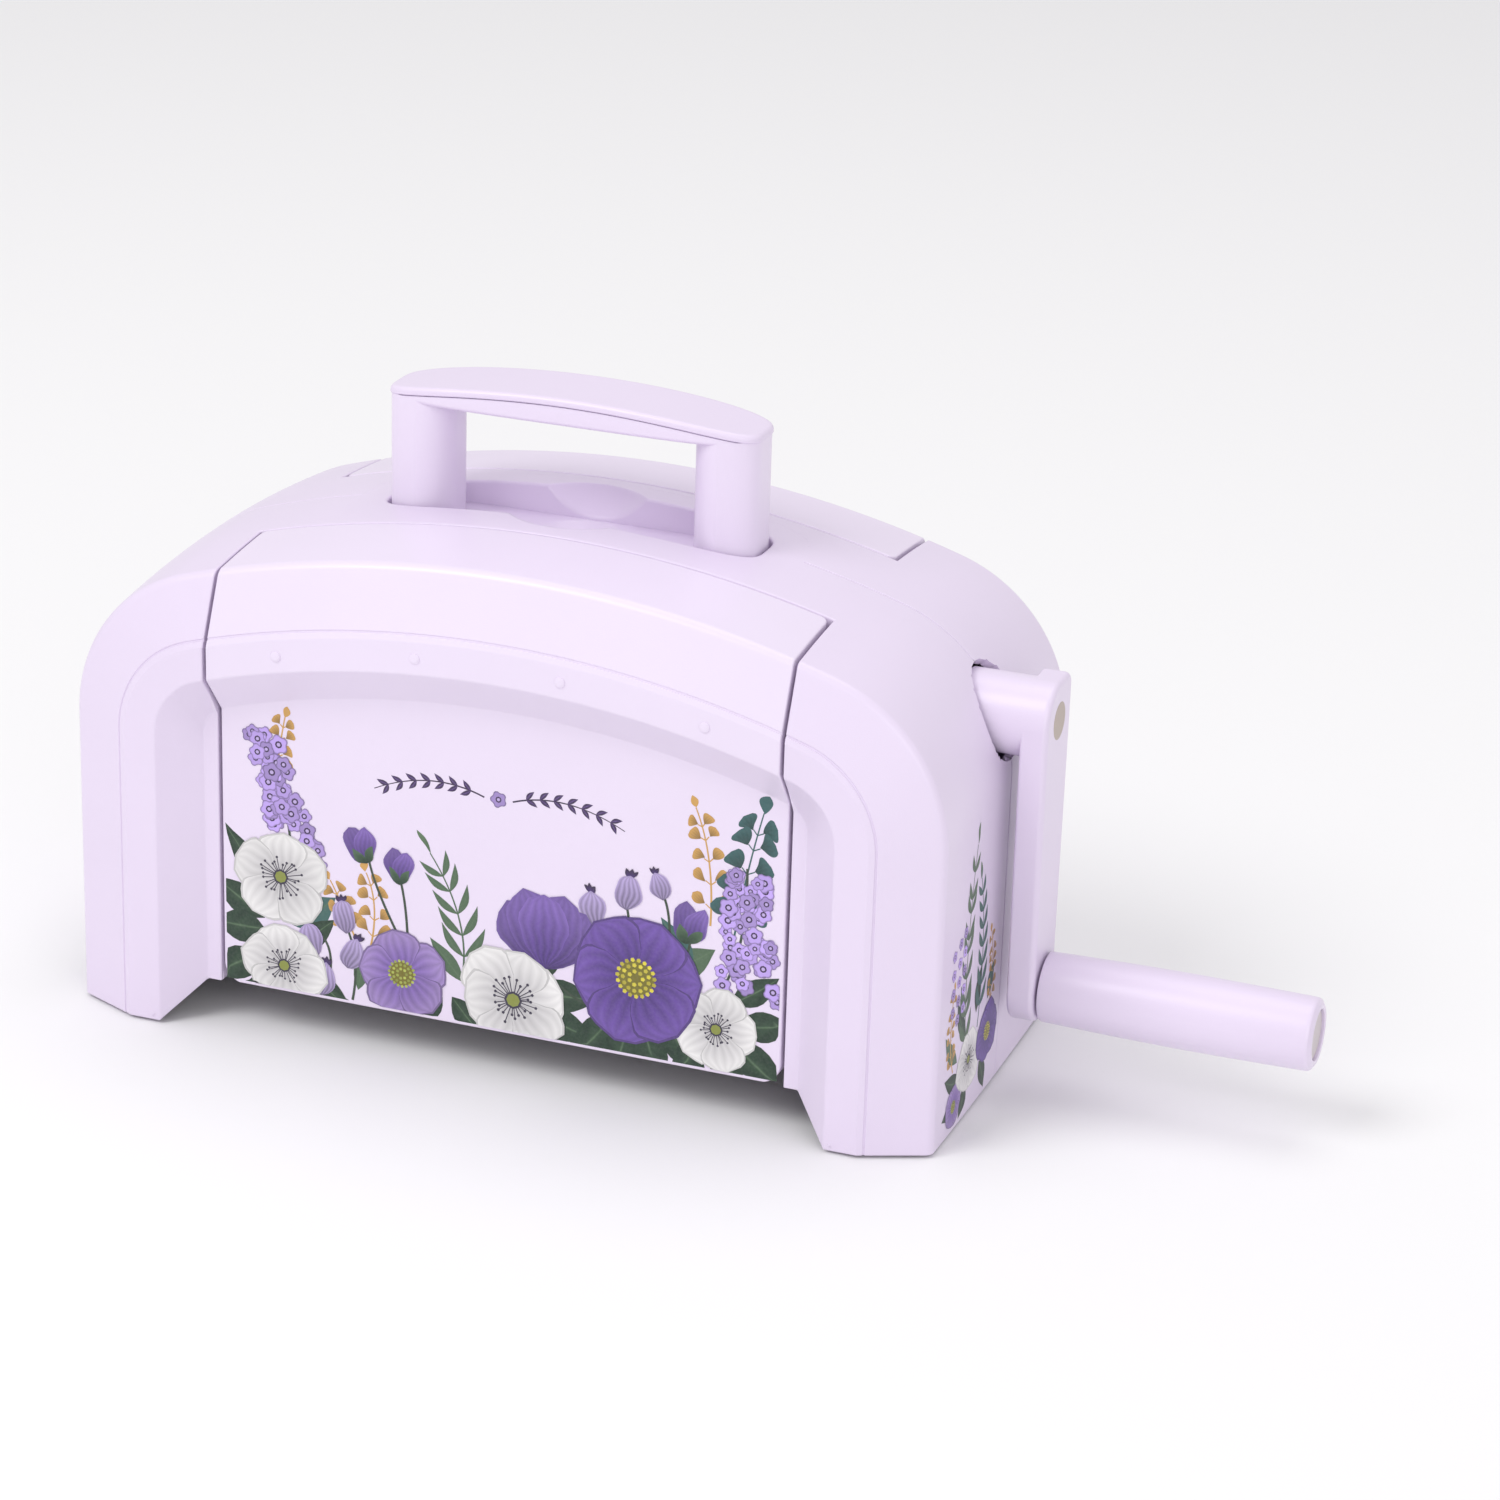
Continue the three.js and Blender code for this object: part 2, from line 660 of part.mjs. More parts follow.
function crankGrip() {
  const profile = [
    [gripStartX, spindleRadius + 0.4],
    [gripStartX, gripRadius - 1.5],
    [gripStartX + 0.6, gripRadius - 0.9],
    [gripStartX + 28, gripRadius - 0.2],
    [gripStartX + 50, gripRadius],
    [gripEndX - 18, gripRadius - 0.25],
    [gripEndX - 1.6, gripRadius - 0.6],
    [gripEndX, gripRadius - 2],
    [gripEndX, 8.9],
    [252, 8.9],
    [252, spindleRadius + 0.4],
    [gripStartX, spindleRadius + 0.4],
  ];
  return turnedX(profile, 0, gripZ, 28);
}

const gripEndCap = () => rodX(8.5, 256, gripEndX - 1, 0, gripZ, 24);

// ---- carry handle -------------------------------------------------------------------------------------------------

// The handle's plan is a superellipse: bowed sides that turn tightly at the ends.
const planPower = 4.2;

function handlePlanWidth(x) {
  return handleHalfWidth * (1 - (x / handleHalfLength) ** planPower) ** (1 / planPower);
}

function handlePlan(inset) {
  const steps = 32;
  const along = (value) => Math.sign(value) * Math.abs(value) ** (2 / planPower);
  const points = [];
  for (let i = 0; i < steps; i += 1) {
    const turn = (2 * Math.PI * i) / steps;
    const x = (handleHalfLength - inset) * along(Math.cos(turn));
    points.push([x, (handleHalfWidth - inset) * along(Math.sin(turn))]);
  }
  return polygon(points);
}

// Everything below a crown that is this high in the middle of the handle.
function underCrownAt(top) {
  const sweep = Math.asin(80 / crownRadius);
  const shape = new THREE.Shape();
  shape.absarc(0, top - crownRadius, crownRadius, Math.PI / 2 - sweep, Math.PI / 2 + sweep);
  shape.lineTo(-80, 100);
  shape.lineTo(80, 100);
  shape.closePath();
  return prism(shape, "y", -30, 30, 10);
}

const capJoint = handleTop - handleCapThickness;

function handleFrame() {
  const bar = prism(handlePlan(0.4), "z", handleUnderside, 230).intersect(underCrownAt(capJoint - gap));
  const posts = [-1, 1].map((hand) => postPrism(hand, 0, postBottom, handleUnderside + 0.3));
  return bar.add(posts[0]).add(posts[1]);
}

function handleCap() {
  const outer = prism(handlePlan(0), "z", 190, 240).intersect(underCrownAt(handleTop));
  return outer.subtract(underCrownAt(capJoint));
}

function postClip(hand) {
  return postPrism(hand, 2, postBottom - 3, postBottom - gap);
}

// ---- assembly -----------------------------------------------------------------------------------------------------

const machine = new THREE.Group();
machine.position.z = footStandOff;

function place(name, solid, material) {
  const mesh = new THREE.Mesh(geometryOf(solid), material);
  mesh.name = name;
  machine.add(mesh);
}

const sides = { front: -1, rear: 1 };
const hands = { left: -1, right: 1 };

for (const [end, side] of Object.entries(sides)) {
  place(`${end}_case`, caseHalf(side), lilac);
  place(`${end}_door`, door(side), paleLilac);
  place(`${end}_platform`, platform(side), greyPlastic);
  place(`${end}_hood`, hood(side), greyPlastic);
  place(`${end}_feed_sill`, feedSill(side), zincPlate);
  place(`${end}_lower_tie_rod`, tieRod(side * lowerTie.y, lowerTie.z), steel);
  place(`${end}_upper_tie_rod`, tieRod(side * upperTie.y, upperTie.z), steel);
  place(`${end}_gearbox_spacer`, gearboxSpacer(side * 32), steel);
  for (const [name, hand] of Object.entries(hands)) {
    place(`${end}_${name}_foot`, foot(hand * 134, side * 46), rubber);
    place(`${end}_${name}_hinge_pin`, hingePin(hand, side), steel);
  }
}

for (const [name, hand] of Object.entries(hands)) {
  place(`${name}_leg_plate`, legPlate(hand), zincPlate);
  place(`${name}_side_plate`, sidePlate(hand), zincPlate);
  place(`${name}_post_guide`, postGuide(hand), greyPlastic);
  place(`${name}_post_clip`, postClip(hand), blackNylon);
  const edge = hand * sidePlateX;
  for (const [level, z] of Object.entries({ lower: lowerRollerZ, upper: upperRollerZ })) {
    place(`${level}_${name}_bush`, flangedBush(edge, sidePlateThickness, hand, journalBore, 10, 12, z), bronze);
  }
}

place("base_bar", baseBar(), zincPlate);
place("centre_foot", foot(0, 0), rubber);
place("outer_bearing_plate", outerBearingPlate(), zincPlate);
place("handle_well", handleWell(), lilac);
const shaftBore = crankShaftRadius + gap;
place("crank_inner_bush", flangedBush(sidePlateX, sidePlateThickness, 1, shaftBore, 8, 10, crankZ), bronze);
place("crank_outer_bush", flangedBush(outerPlateX, outerPlateThickness, 1, shaftBore, 8, 10, crankZ), bronze);

place("upper_roller", roller(upperRollerZ, 128), steel);
place("drive_gear", driveGear(), steel);
place("upper_roller_gear", syncGear(upperRollerZ, down), steel);
place("lower_roller", roller(lowerRollerZ, 112), steel);
place("lower_roller_gear", syncGear(lowerRollerZ, Math.PI / 2 + Math.PI / syncTeeth), steel);

place("crank_shaft", crankShaft(), steel);
place("drive_pinion", pinion(), steel);
place("crank_arm", crankArm(), lilac);
place("crank_screw", crankScrew(), steel);
place("crank_cap", crankCap(), capBeige);
place("grip_spindle", gripSpindle(), steel);
place("crank_grip", crankGrip(), lilac);
place("grip_end_cap", gripEndCap(), greyPlastic);

place("handle_frame", handleFrame(), paleLilac);
place("handle_top_cap", handleCap(), lilac);

export default machine;
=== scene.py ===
# A hand-cranked die cutting machine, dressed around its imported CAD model.
from contextlib import contextmanager
from math import pi, sin, cos, radians, atan2

import bmesh
import bpy
import numpy as np
from mathutils import Matrix, Vector
from mathutils.geometry import tessellate_polygon


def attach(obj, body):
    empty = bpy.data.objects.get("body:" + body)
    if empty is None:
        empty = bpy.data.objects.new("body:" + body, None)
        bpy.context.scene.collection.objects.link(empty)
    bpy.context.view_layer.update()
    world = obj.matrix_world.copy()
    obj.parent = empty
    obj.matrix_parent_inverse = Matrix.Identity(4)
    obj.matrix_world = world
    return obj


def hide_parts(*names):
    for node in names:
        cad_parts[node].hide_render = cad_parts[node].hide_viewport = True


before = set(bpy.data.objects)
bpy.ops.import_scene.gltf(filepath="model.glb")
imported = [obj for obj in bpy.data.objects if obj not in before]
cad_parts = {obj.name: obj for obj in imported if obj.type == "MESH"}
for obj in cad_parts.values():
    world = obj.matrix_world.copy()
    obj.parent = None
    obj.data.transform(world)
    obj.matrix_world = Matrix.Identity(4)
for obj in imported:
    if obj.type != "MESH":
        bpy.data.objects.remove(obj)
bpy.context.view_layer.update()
print("stage: frame loaded")

# camera: stands to the front right, a little above the handle

view = {
    "place": (0.52447, -1.28976, 0.64850),
    "yaw": 19.707,  # degrees round from straight ahead
    "pitch": 21.736,  # degrees down
    "roll": 1.857,
    "lens": 107.17,
}


def aimCamera():
    yaw, pitch, roll = (radians(view[k]) for k in ("yaw", "pitch", "roll"))
    back = Vector((sin(yaw) * cos(pitch), -cos(yaw) * cos(pitch), sin(pitch)))
    right = Vector((cos(yaw), sin(yaw), 0))
    up = back.cross(right)
    axisX = cos(roll) * right + sin(roll) * up
    axisY = -sin(roll) * right + cos(roll) * up
    turn = Matrix((axisX, axisY, back)).transposed().to_4x4()
    data = bpy.data.cameras.new("camera")
    data.sensor_width = 36
    data.lens = view["lens"]
    data.clip_start = 0.05
    data.clip_end = 30
    camera = bpy.data.objects.new("camera", data)
    camera.matrix_world = Matrix.Translation(view["place"]) @ turn
    bpy.context.scene.collection.objects.link(camera)
    bpy.context.scene.camera = camera


aimCamera()

# the machine's own measures, in millimetres, heights from the bottom edge of the case

arch = {"halfWidth": 152, "height": 174, "crown": 377, "shoulder": 56}
shell = {
    "crease": 65,  # depth of the crease between the crown and the sloped band
    "rim": 75,
    "panel": 64.3,
    "rimOuter": 22.5,
    "rimInner": 33.5,
    "panelInset": 46.5,
    "bulge": 4,
    "spread": 0.16,
    "wall": 3,
    "standOff": 1,  # the feet hold the case off the table
}
door = {
    "halfWidth": 99.3,
    "back": 32,
    "bottom": 14.3,
    "lip": 0.7,
    "lowCorner": 7,
    "backCorner": 3,
    "sillClear": 27,  # the flanks stop short of the sill they fold down beside
    "flankTop": 112,
}
nub = {
    "across": (-74, -25, 25, 74),
    "inset": 28,
    "radius": 1.9,
    "sides": 24,
    "profile": ((-0.6, 1), (0, 1), (0.3, 0.93), (0.52, 0.72), (0.65, 0.35)),
}
doorway = {
    "halfWidth": 100.5,
    "back": 31.3,
    "bottom": 13.5,
    "lip": 0.7,
    "wall": 5,
    "aim": 36,  # the depth that the seam's walls run towards
    "lean": 0.16,  # how far they lean away from the doorway
}
hub = {"height": 129, "hole": 15.7, "radius": 13.2, "start": 136.3, "corner": 4}
handle = {
    "halfLength": 65.2,
    "halfWidth": 15.2,
    "power": 4.2,
    "top": 217.8,
    "underside": 208.5,
    "cap": 2.6,
    "postStart": 42.3,
    "postCorner": 10.5,
    "postBottom": 145,
    "slotGap": 0.7,
    "slotFloor": 167.3,
}
scoop = {"radius": 27.2, "height": 190.3}


def riseAt(y):
    return shell["bulge"] * (1 - np.minimum(1, np.abs(y) / shell["crease"]) ** 2)


def archCentres(rise):
    # Where the crown and shoulder circles have their centres, and the lean of the line that joins them.
    centreX = arch["halfWidth"] - arch["shoulder"] + rise * shell["spread"]
    crownZ = arch["height"] + rise - arch["crown"]
    shoulderZ = crownZ + np.sqrt((arch["crown"] - arch["shoulder"]) ** 2 - centreX**2)
    return centreX, crownZ, shoulderZ, np.arctan2(centreX, shoulderZ - crownZ)


def archHeightAt(x, inset, rise=0.0):
    # Height of the arch over x: a crown circle that meets a smaller shoulder circle, both drawn in.
    x = np.abs(x)
    centreX, crownZ, shoulderZ, lean = archCentres(rise)
    crownR = arch["crown"] - inset
    shoulderR = arch["shoulder"] - inset
    onCrown = crownZ + np.sqrt(np.maximum(0, crownR**2 - x**2))
    onShoulder = shoulderZ + np.sqrt(np.maximum(0, shoulderR**2 - (x - centreX) ** 2))
    return np.where(x < crownR * np.sin(lean), onCrown, onShoulder)


def archRun(startX, inset, rise, endZ, fractions):
    # Points on the arch from startX round the shoulder and down to endZ, at fractions of the length.
    centreX, crownZ, shoulderZ, lean = archCentres(rise)
    crownR = arch["crown"] - inset
    shoulderR = arch["shoulder"] - inset
    parts = []
    if startX < crownR * sin(lean):
        turn = np.linspace(np.arcsin(startX / crownR), lean, 12)[:-1]
        parts.append(np.stack([crownR * np.sin(turn), crownZ + crownR * np.cos(turn)], 1))
        first = lean
    else:
        first = np.arcsin(min(1, (startX - centreX) / shoulderR))
    turn = np.linspace(first, pi / 2, 40)
    parts.append(np.stack([centreX + shoulderR * np.sin(turn), shoulderZ + shoulderR * np.cos(turn)], 1))
    parts.append(np.array([[centreX + shoulderR, endZ]]))
    line = np.concatenate(parts)
    length = np.concatenate([[0], np.cumsum(np.hypot(*np.diff(line, axis=0).T))])
    at = np.asarray(fractions) * length[-1]
    return np.stack([np.interp(at, length, line[:, 0]), np.interp(at, length, line[:, 1])], 1)


def rounded(corners, radii, steps=6):
    # A polyline whose corners are replaced by arcs of the radii given; a radius of zero keeps the corner.
    corners = [np.array(c, float) for c in corners]
    out = [corners[0][None]]
    for before, corner, after, radius in zip(corners, corners[1:], corners[2:], radii):
        a = (before - corner) / np.linalg.norm(before - corner)
        b = (after - corner) / np.linalg.norm(after - corner)
        half = np.arccos(np.clip(a @ b, -1, 1)) / 2
        if radius == 0:
            out.append(corner[None])
            continue
        reach = radius / np.tan(half)
        middle = corner + (a + b) / np.linalg.norm(a + b) * radius / np.sin(half)
        start, end = corner + a * reach - middle, corner + b * reach - middle
        sweep = pi - 2 * half
        t = np.linspace(0, 1, steps + 1)[:, None]
        arc = start * np.sin((1 - t) * sweep) + end * np.sin(t * sweep)
        out.append(middle + arc / np.sin(sweep))
    out.append(corners[-1][None])
    return np.concatenate(out)


def frontProfile():
    # The section of the front from the crease to the foot of the bevel, as rows of (depth, inset).
    s = shell
    slope = np.array([s["rim"] - s["crease"], s["rimOuter"]])
    slope = slope / np.linalg.norm(slope)
    out = np.array([slope[1], -slope[0]])  # away from the material
    edge = np.array([s["rim"], s["rimOuter"]])
    groove = [edge - slope * g - out * d for g, d in ((3.0, 0), (2.8, 0.4), (2.3, 0.4), (2.1, 0))]
    corners = [(s["crease"] - 8, 0), (s["crease"], 0), *groove, edge, (s["rim"], s["rimInner"])]
    corners += [(s["panel"], s["panelInset"]), (s["panel"], s["panelInset"] + 2)]
    radii = [3.2, 0.15, 0.12, 0.12, 0.15, 1.3, 1.8, 1.2]
    line = rounded(corners, radii)
    extra = np.linspace(line[7], line[8], 8)[1:-1]  # a few rows across the band
    line = np.concatenate([line[:8], extra, line[8:]])
    return line[1:-1]


# meshes


def gridFaces(rows, columns, closed=False):
    # Quads over a grid whose vertices run along each row in turn; closed joins the last column to the first.
    r = np.arange(rows - 1)[:, None]
    c = np.arange(columns if closed else columns - 1)[None]
    d = (c + 1) % columns
    quads = np.stack([r * columns + c, r * columns + d, (r + 1) * columns + d, (r + 1) * columns + c], -1)
    return quads.reshape(-1, 4)


def gridNormals(points):
    # Unit normals of a grid of points, from the cross product of its two directions.
    across = np.gradient(points, axis=1)
    along = np.gradient(points, axis=0)
    normal = np.cross(across, along)
    return normal / np.maximum(1e-9, np.linalg.norm(normal, axis=2, keepdims=True))


def lipDrop(distance, radius):
    # How far a quarter-round edge drops at a distance from it.
    d = np.clip(distance, 0, radius)
    return radius - np.sqrt(radius**2 - (radius - d) ** 2)


def makeMesh(name, points, faces):
    # Points come in the machine's own millimetres; the mesh is in metres, raised on its feet.
    mesh = bpy.data.meshes.new(name)
    scaled = (np.asarray(points, float).reshape(-1, 3) + (0, 0, shell["standOff"])) * 0.001
    mesh.from_pydata(scaled, [], [tuple(int(i) for i in f) for f in faces])
    mesh.update()
    obj = bpy.data.objects.new(name, mesh)
    bpy.context.scene.collection.objects.link(obj)
    return obj


@contextmanager
def opened(obj):
    # Opens a mesh for editing, and writes it back afterwards.
    bm = bmesh.new()
    bm.from_mesh(obj.data)
    yield bm
    bm.to_mesh(obj.data)
    bm.free()


def joined(parts):
    # Several (points, faces) pairs as one pair.
    points, faces, start = [], [], 0
    for p, f in parts:
        p = np.asarray(p, float).reshape(-1, 3)
        points.append(p)
        faces += [tuple(int(i) + start for i in face) for face in f]
        start += len(p)
    return np.concatenate(points), faces


def finish(obj, body, material, replaces=(), solid=0.0):
    # Thickens a skin inwards, smooths it, and puts it on its body.
    if solid:
        thick = obj.modifiers.new("wall", "SOLIDIFY")
        thick.thickness = solid * 0.001
        thick.offset = -1
    obj.data.polygons.foreach_set("use_smooth", np.ones(len(obj.data.polygons), bool))
    obj.data.set_sharp_from_angle(angle=radians(35))
    crispRims(obj.data)
    weighted = obj.modifiers.new("even shading", "WEIGHTED_NORMAL")
    weighted.keep_sharp = True
    obj.data.materials.append(material)
    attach(obj, body)
    if replaces:
        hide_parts(*replaces)


def crispRims(mesh):
    # The open rims of a skin stay sharp, so that the thickness behind them doesn't shade the face.
    used = np.zeros(len(mesh.loops), int)
    mesh.loops.foreach_get("edge_index", used)
    sharp = np.zeros(len(mesh.edges), bool)
    mesh.edges.foreach_get("use_edge_sharp", sharp)
    sharp |= np.bincount(used, minlength=len(mesh.edges)) == 1
    mesh.edges.foreach_set("use_edge_sharp", sharp)


def stackLoops(loops, capStart=True, capEnd=True):
    # Closed loops of equal length, joined in order, with a flat cap at each end. Faces point out when
    # the loops run anticlockwise seen from the far end.
    loops = np.asarray(loops, float)
    rows, columns = loops.shape[:2]
    faces = [tuple(f) for f in gridFaces(rows, columns, closed=True)]
    if capStart:
        faces.append(tuple(range(columns))[::-1])
    if capEnd:
        faces.append(tuple((rows - 1) * columns + i for i in range(columns)))
    return loops.reshape(-1, 3), faces


def turned(profile, y, z, segments=72):
    # A solid of revolution about a line along X: rows of (along, radius), starting and ending on the line.
    profile = np.asarray(profile, float)
    turn = np.linspace(0, 2 * pi, segments, endpoint=False)
    ring = np.stack([np.zeros(segments), np.cos(turn), np.sin(turn)], 1)
    loops = [np.array([a, y, z]) + ring * max(r, 0.01) for a, r in profile]
    return stackLoops(loops)


# materials


class Socket:
    # Wraps a shader socket, so that arithmetic on it adds Math nodes.

    def __init__(self, make, out):
        self.make = make
        self.out = out

    def math(self, operation, *others):
        return self.make("ShaderNodeMath", {"operation": operation}, self, *others)

    def __add__(self, other):
        return self.math("ADD", other)

    def __mul__(self, other):
        return self.math("MULTIPLY", other)

    def __sub__(self, other):
        return self.math("SUBTRACT", other)

    def clamp(self, low=0.0, high=1.0):
        return self.math("MAXIMUM", low).math("MINIMUM", high)


class Finish:
    # A material under construction: node() adds any node, and mix() blends two colours.

    def __init__(self, name):
        self.material = bpy.data.materials.new(name)
        self.material.use_nodes = True
        self.tree = self.material.node_tree
        self.surface = self.tree.nodes["Principled BSDF"]

    def node(self, kind, settings=None, *values, output=0, **named):
        made = self.tree.nodes.new(kind)
        for key, value in (settings or {}).items():
            setattr(made, key, value)
        for key, value in [*enumerate(values), *named.items()]:
            socket = made.inputs[key if isinstance(key, int) else key.replace("_", " ")]
            if isinstance(value, Socket):
                self.tree.links.new(value.out, socket)
            else:
                socket.default_value = value
        return Socket(self.node, made.outputs[output])

    def mix(self, factor, a, b):
        made = self.tree.nodes.new("ShaderNodeMix")
        made.data_type = "RGBA"
        for index, value in ((0, factor), (6, a), (7, b)):
            if isinstance(value, Socket):
                self.tree.links.new(value.out, made.inputs[index])
            else:
                made.inputs[index].default_value = (*value, 1) if index else value
        return Socket(self.node, made.outputs[2])

    def feed(self, **inputs):
        for key, value in inputs.items():
            socket = self.surface.inputs[key.replace("_", " ")]
            if isinstance(value, Socket):
                self.tree.links.new(value.out, socket)
            elif isinstance(value, tuple) and len(value) == 3:
                socket.default_value = (*value, 1)
            else:
                socket.default_value = value
        return self.material

    def place(self):
        return self.node("ShaderNodeTexCoord", output=3)

    def noise(self, scale, detail=2.0, rough=0.5):
        return self.node(
            "ShaderNodeTexNoise", None, Vector=self.place(), Scale=scale, Detail=detail, Roughness=rough
        )

    def bump(self, height, depth):
        return self.node("ShaderNodeBump", None, Height=height, Distance=depth)


def mouldedPlastic(name, colour, roughness, grain=1.0, gloss=0.0):
    # Injection-moulded plastic: faint flow tone, a fine spark-eroded grain and glossier worn patches.
    f = Finish(name)
    flow = f.noise(14, 3)
    rub = f.noise(38, 4, 0.6)
    fine = f.noise(2600, 2)
    darker = tuple(c * 0.955 for c in colour)
    tone = f.mix(flow, darker, tuple(min(1, c * 1.02) for c in colour))
    tone = f.mix((fine * 0.05).clamp(), tone, tuple(c * 0.8 for c in colour))
    return f.feed(
        Base_Color=tone,
        Roughness=rub * 0.1 + fine * 0.05 + (roughness - 0.07),
        Normal=f.bump(fine, 0.00003 * grain),
        IOR=1.5,
        Coat_Weight=gloss,
        Coat_Roughness=0.25,
    )


def brushedMetal(name, colour, roughness, stretch=(6, 1, 1), wear=0.5):
    # Drawn or ground metal: fine lines along one direction, and a cloudy film of oil.
    f = Finish(name)
    lines = f.node(
        "ShaderNodeTexNoise",
        None,
        Vector=f.node("ShaderNodeMapping", None, Vector=f.place(), Scale=tuple(180 / s * 4 for s in stretch)),
        Scale=6.0,
        Detail=3.0,
    )
    film = f.noise(55, 4, 0.6)
    tone = f.mix(film, tuple(c * 0.78 for c in colour), colour)
    tone = f.mix((lines * 0.35).clamp(), tone, tuple(min(1, c * 1.15) for c in colour))
    return f.feed(
        Base_Color=tone,
        Metallic=1.0,
        Roughness=film * 0.2 * wear + lines * 0.12 + (roughness - 0.1),
        Normal=f.bump(lines, 0.00004),
    )


def rubberFinish(name, colour):
    f = Finish(name)
    dust = f.noise(240, 4, 0.7)
    return f.feed(
        Base_Color=f.mix(dust, colour, tuple(c * 1.9 + 0.01 for c in colour)),
        Roughness=dust * 0.15 + 0.7,
        Normal=f.bump(dust, 0.00008),
    )


def printedInk(name):
    # Pad-printed ink: the colour painted on each petal, with the paper-cut grain of a fine screen.
    f = Finish(name)
    ink = f.node("ShaderNodeVertexColor", {"layer_name": "ink"})
    screen = f.noise(900, 3, 0.6)
    tone = f.mix((screen - 0.35).clamp() * 0.35, ink, (0.92, 0.88, 0.95))
    return f.feed(
        Base_Color=f.mix(0.8, tone, ink),
        Roughness=screen * 0.12 + 0.36,
        Normal=f.bump(screen, 0.00002),
    )


finishes = {
    "case": mouldedPlastic("lilac case plastic", (0.785, 0.69, 0.86), 0.38, gloss=0.35),
    "door": mouldedPlastic("pale lilac door plastic", (0.815, 0.725, 0.885), 0.36, gloss=0.35),
    "grey": mouldedPlastic("grey lining plastic", (0.42, 0.38, 0.48), 0.5, grain=1.6),
    "nylon": mouldedPlastic("black nylon", (0.022, 0.021, 0.025), 0.5),
    "cap": mouldedPlastic("beige screw cap", (0.50, 0.42, 0.37), 0.45),
    "endDisc": mouldedPlastic("pale grip disc", (0.60, 0.54, 0.56), 0.4),
    "rubber": rubberFinish("foot rubber", (0.035, 0.034, 0.037)),
    "zinc": brushedMetal("zinc plated sheet", (0.56, 0.57, 0.56), 0.42, (1, 6, 1)),
    "steel": brushedMetal("ground steel", (0.60, 0.61, 0.63), 0.28),
    "bronze": brushedMetal("sintered bronze", (0.50, 0.33, 0.15), 0.45),
    "ink": printedInk("printed flowers"),
}
print("stage: finishes mixed")

# skins: open sheets worked out for the rear, with their walls turned inwards, then mirrored for the front


class Skin:
    # a sheet of points and quads that grows: blocks of grid, and walls let in from its edges

    def __init__(self):
        self.points = np.zeros((0, 3))
        self.faces = []

    def block(self, grid, keep=None):
        rows, columns = grid.shape[:2]
        start = len(self.points)
        self.points = np.concatenate([self.points, grid.reshape(-1, 3)])
        quads = gridFaces(rows, columns)
        if keep is not None:
            quads = quads[keep.reshape(-1)[quads].all(1)]
        self.faces += [tuple(int(i) + start for i in q) for q in quads]
        return np.arange(rows * columns).reshape(rows, columns) + start

    def wall(self, edge, inward, depth, steps=2):
        # lets a wall in from a line of points: each point moves along its own direction
        edge = np.asarray(edge)
        base = self.points[edge]
        rows = [edge]
        for t in np.linspace(0, 1, steps + 1)[1:]:
            start = len(self.points)
            self.points = np.concatenate([self.points, base + inward * depth * t])
            rows.append(np.arange(len(edge)) + start)
        for a, b in zip(rows, rows[1:]):
            self.faces += [(int(a[i]), int(a[i + 1]), int(b[i + 1]), int(b[i])) for i in range(len(edge) - 1)]
        return rows[-1]


def skinObject(name, skin, side, probe):
    # Makes the mesh, welds it, and turns it so that the face nearest the probe point looks outwards.
    obj = makeMesh(name, sideFlip(skin.points, side), skin.faces)
    aim = Vector(sideFlip(np.array(probe), side)) * 0.001
    with opened(obj) as bm:
        bmesh.ops.remove_doubles(bm, verts=bm.verts, dist=0.00002)
        bmesh.ops.delete(bm, geom=[v for v in bm.verts if not v.link_faces], context="VERTS")
        bmesh.ops.recalc_face_normals(bm, faces=bm.faces)
        nearest = min(bm.faces, key=lambda f: (f.calc_center_median() - aim).length)
        if nearest.normal.dot(aim - Vector((0, 0, 0.05))) < 0:
            bmesh.ops.reverse_faces(bm, faces=bm.faces)
    return obj


def sideFlip(points, side):
    out = np.array(points, float)
    out[..., 1] *= side
    return out


def mend(normals):
    # Rows that have shrunk to a point take the normal of the row before.
    for r in range(1, len(normals)):
        flat = np.linalg.norm(normals[r], axis=1) < 0.5
        normals[r][flat] = normals[r - 1][flat]
    return normals


lipSteps = 1 - np.sin(np.linspace(0, pi / 2, 6))[::-1]  # from the edge inwards, in lip radii


def depthRows():
    # Rows of (depth, inset) from the centre seam over the crease and the rim down to the foot of the bevel.
    seam = 0.15 + 0.35 * lipSteps
    back = doorway["back"] - doorway["lip"] * lipSteps[::-1]
    crown = np.linspace(1.6, doorway["back"] - 1.6, 22)
    behind = np.concatenate([seam, crown, back, [32.3, 34, 37.5, 41, 45, 49, 53]])
    return np.concatenate([np.stack([behind, np.zeros(len(behind))], 1), frontProfile()])


def slotReach(x, y):
    # How far a point lies outside the handle's slot: the growth of the superellipse that passes through it.
    low = np.full(np.shape(x), -handle["halfWidth"], float)
    high = np.full(np.shape(x), 120.0)
    for _ in range(30):
        middle = (low + high) / 2
        a = handle["halfLength"] + handle["slotGap"] + middle
        b = handle["halfWidth"] + handle["slotGap"] + middle
        outside = (np.abs(x) / a) ** handle["power"] + (np.abs(y) / b) ** handle["power"] > 1
        low, high = np.where(outside, middle, low), np.where(outside, high, middle)
    return low


def grooveRows(rows):
    # Which rows lie in the fine groove beside the rim: their walls and lips follow the band instead.
    slope = np.array([shell["rim"] - shell["crease"], shell["rimOuter"]])
    along = (rows - (shell["rim"], shell["rimOuter"])) @ (slope / np.linalg.norm(slope))
    return np.flatnonzero((along > -3.4) & (along < -1.7) & (rows[:, 0] > shell["crease"]))


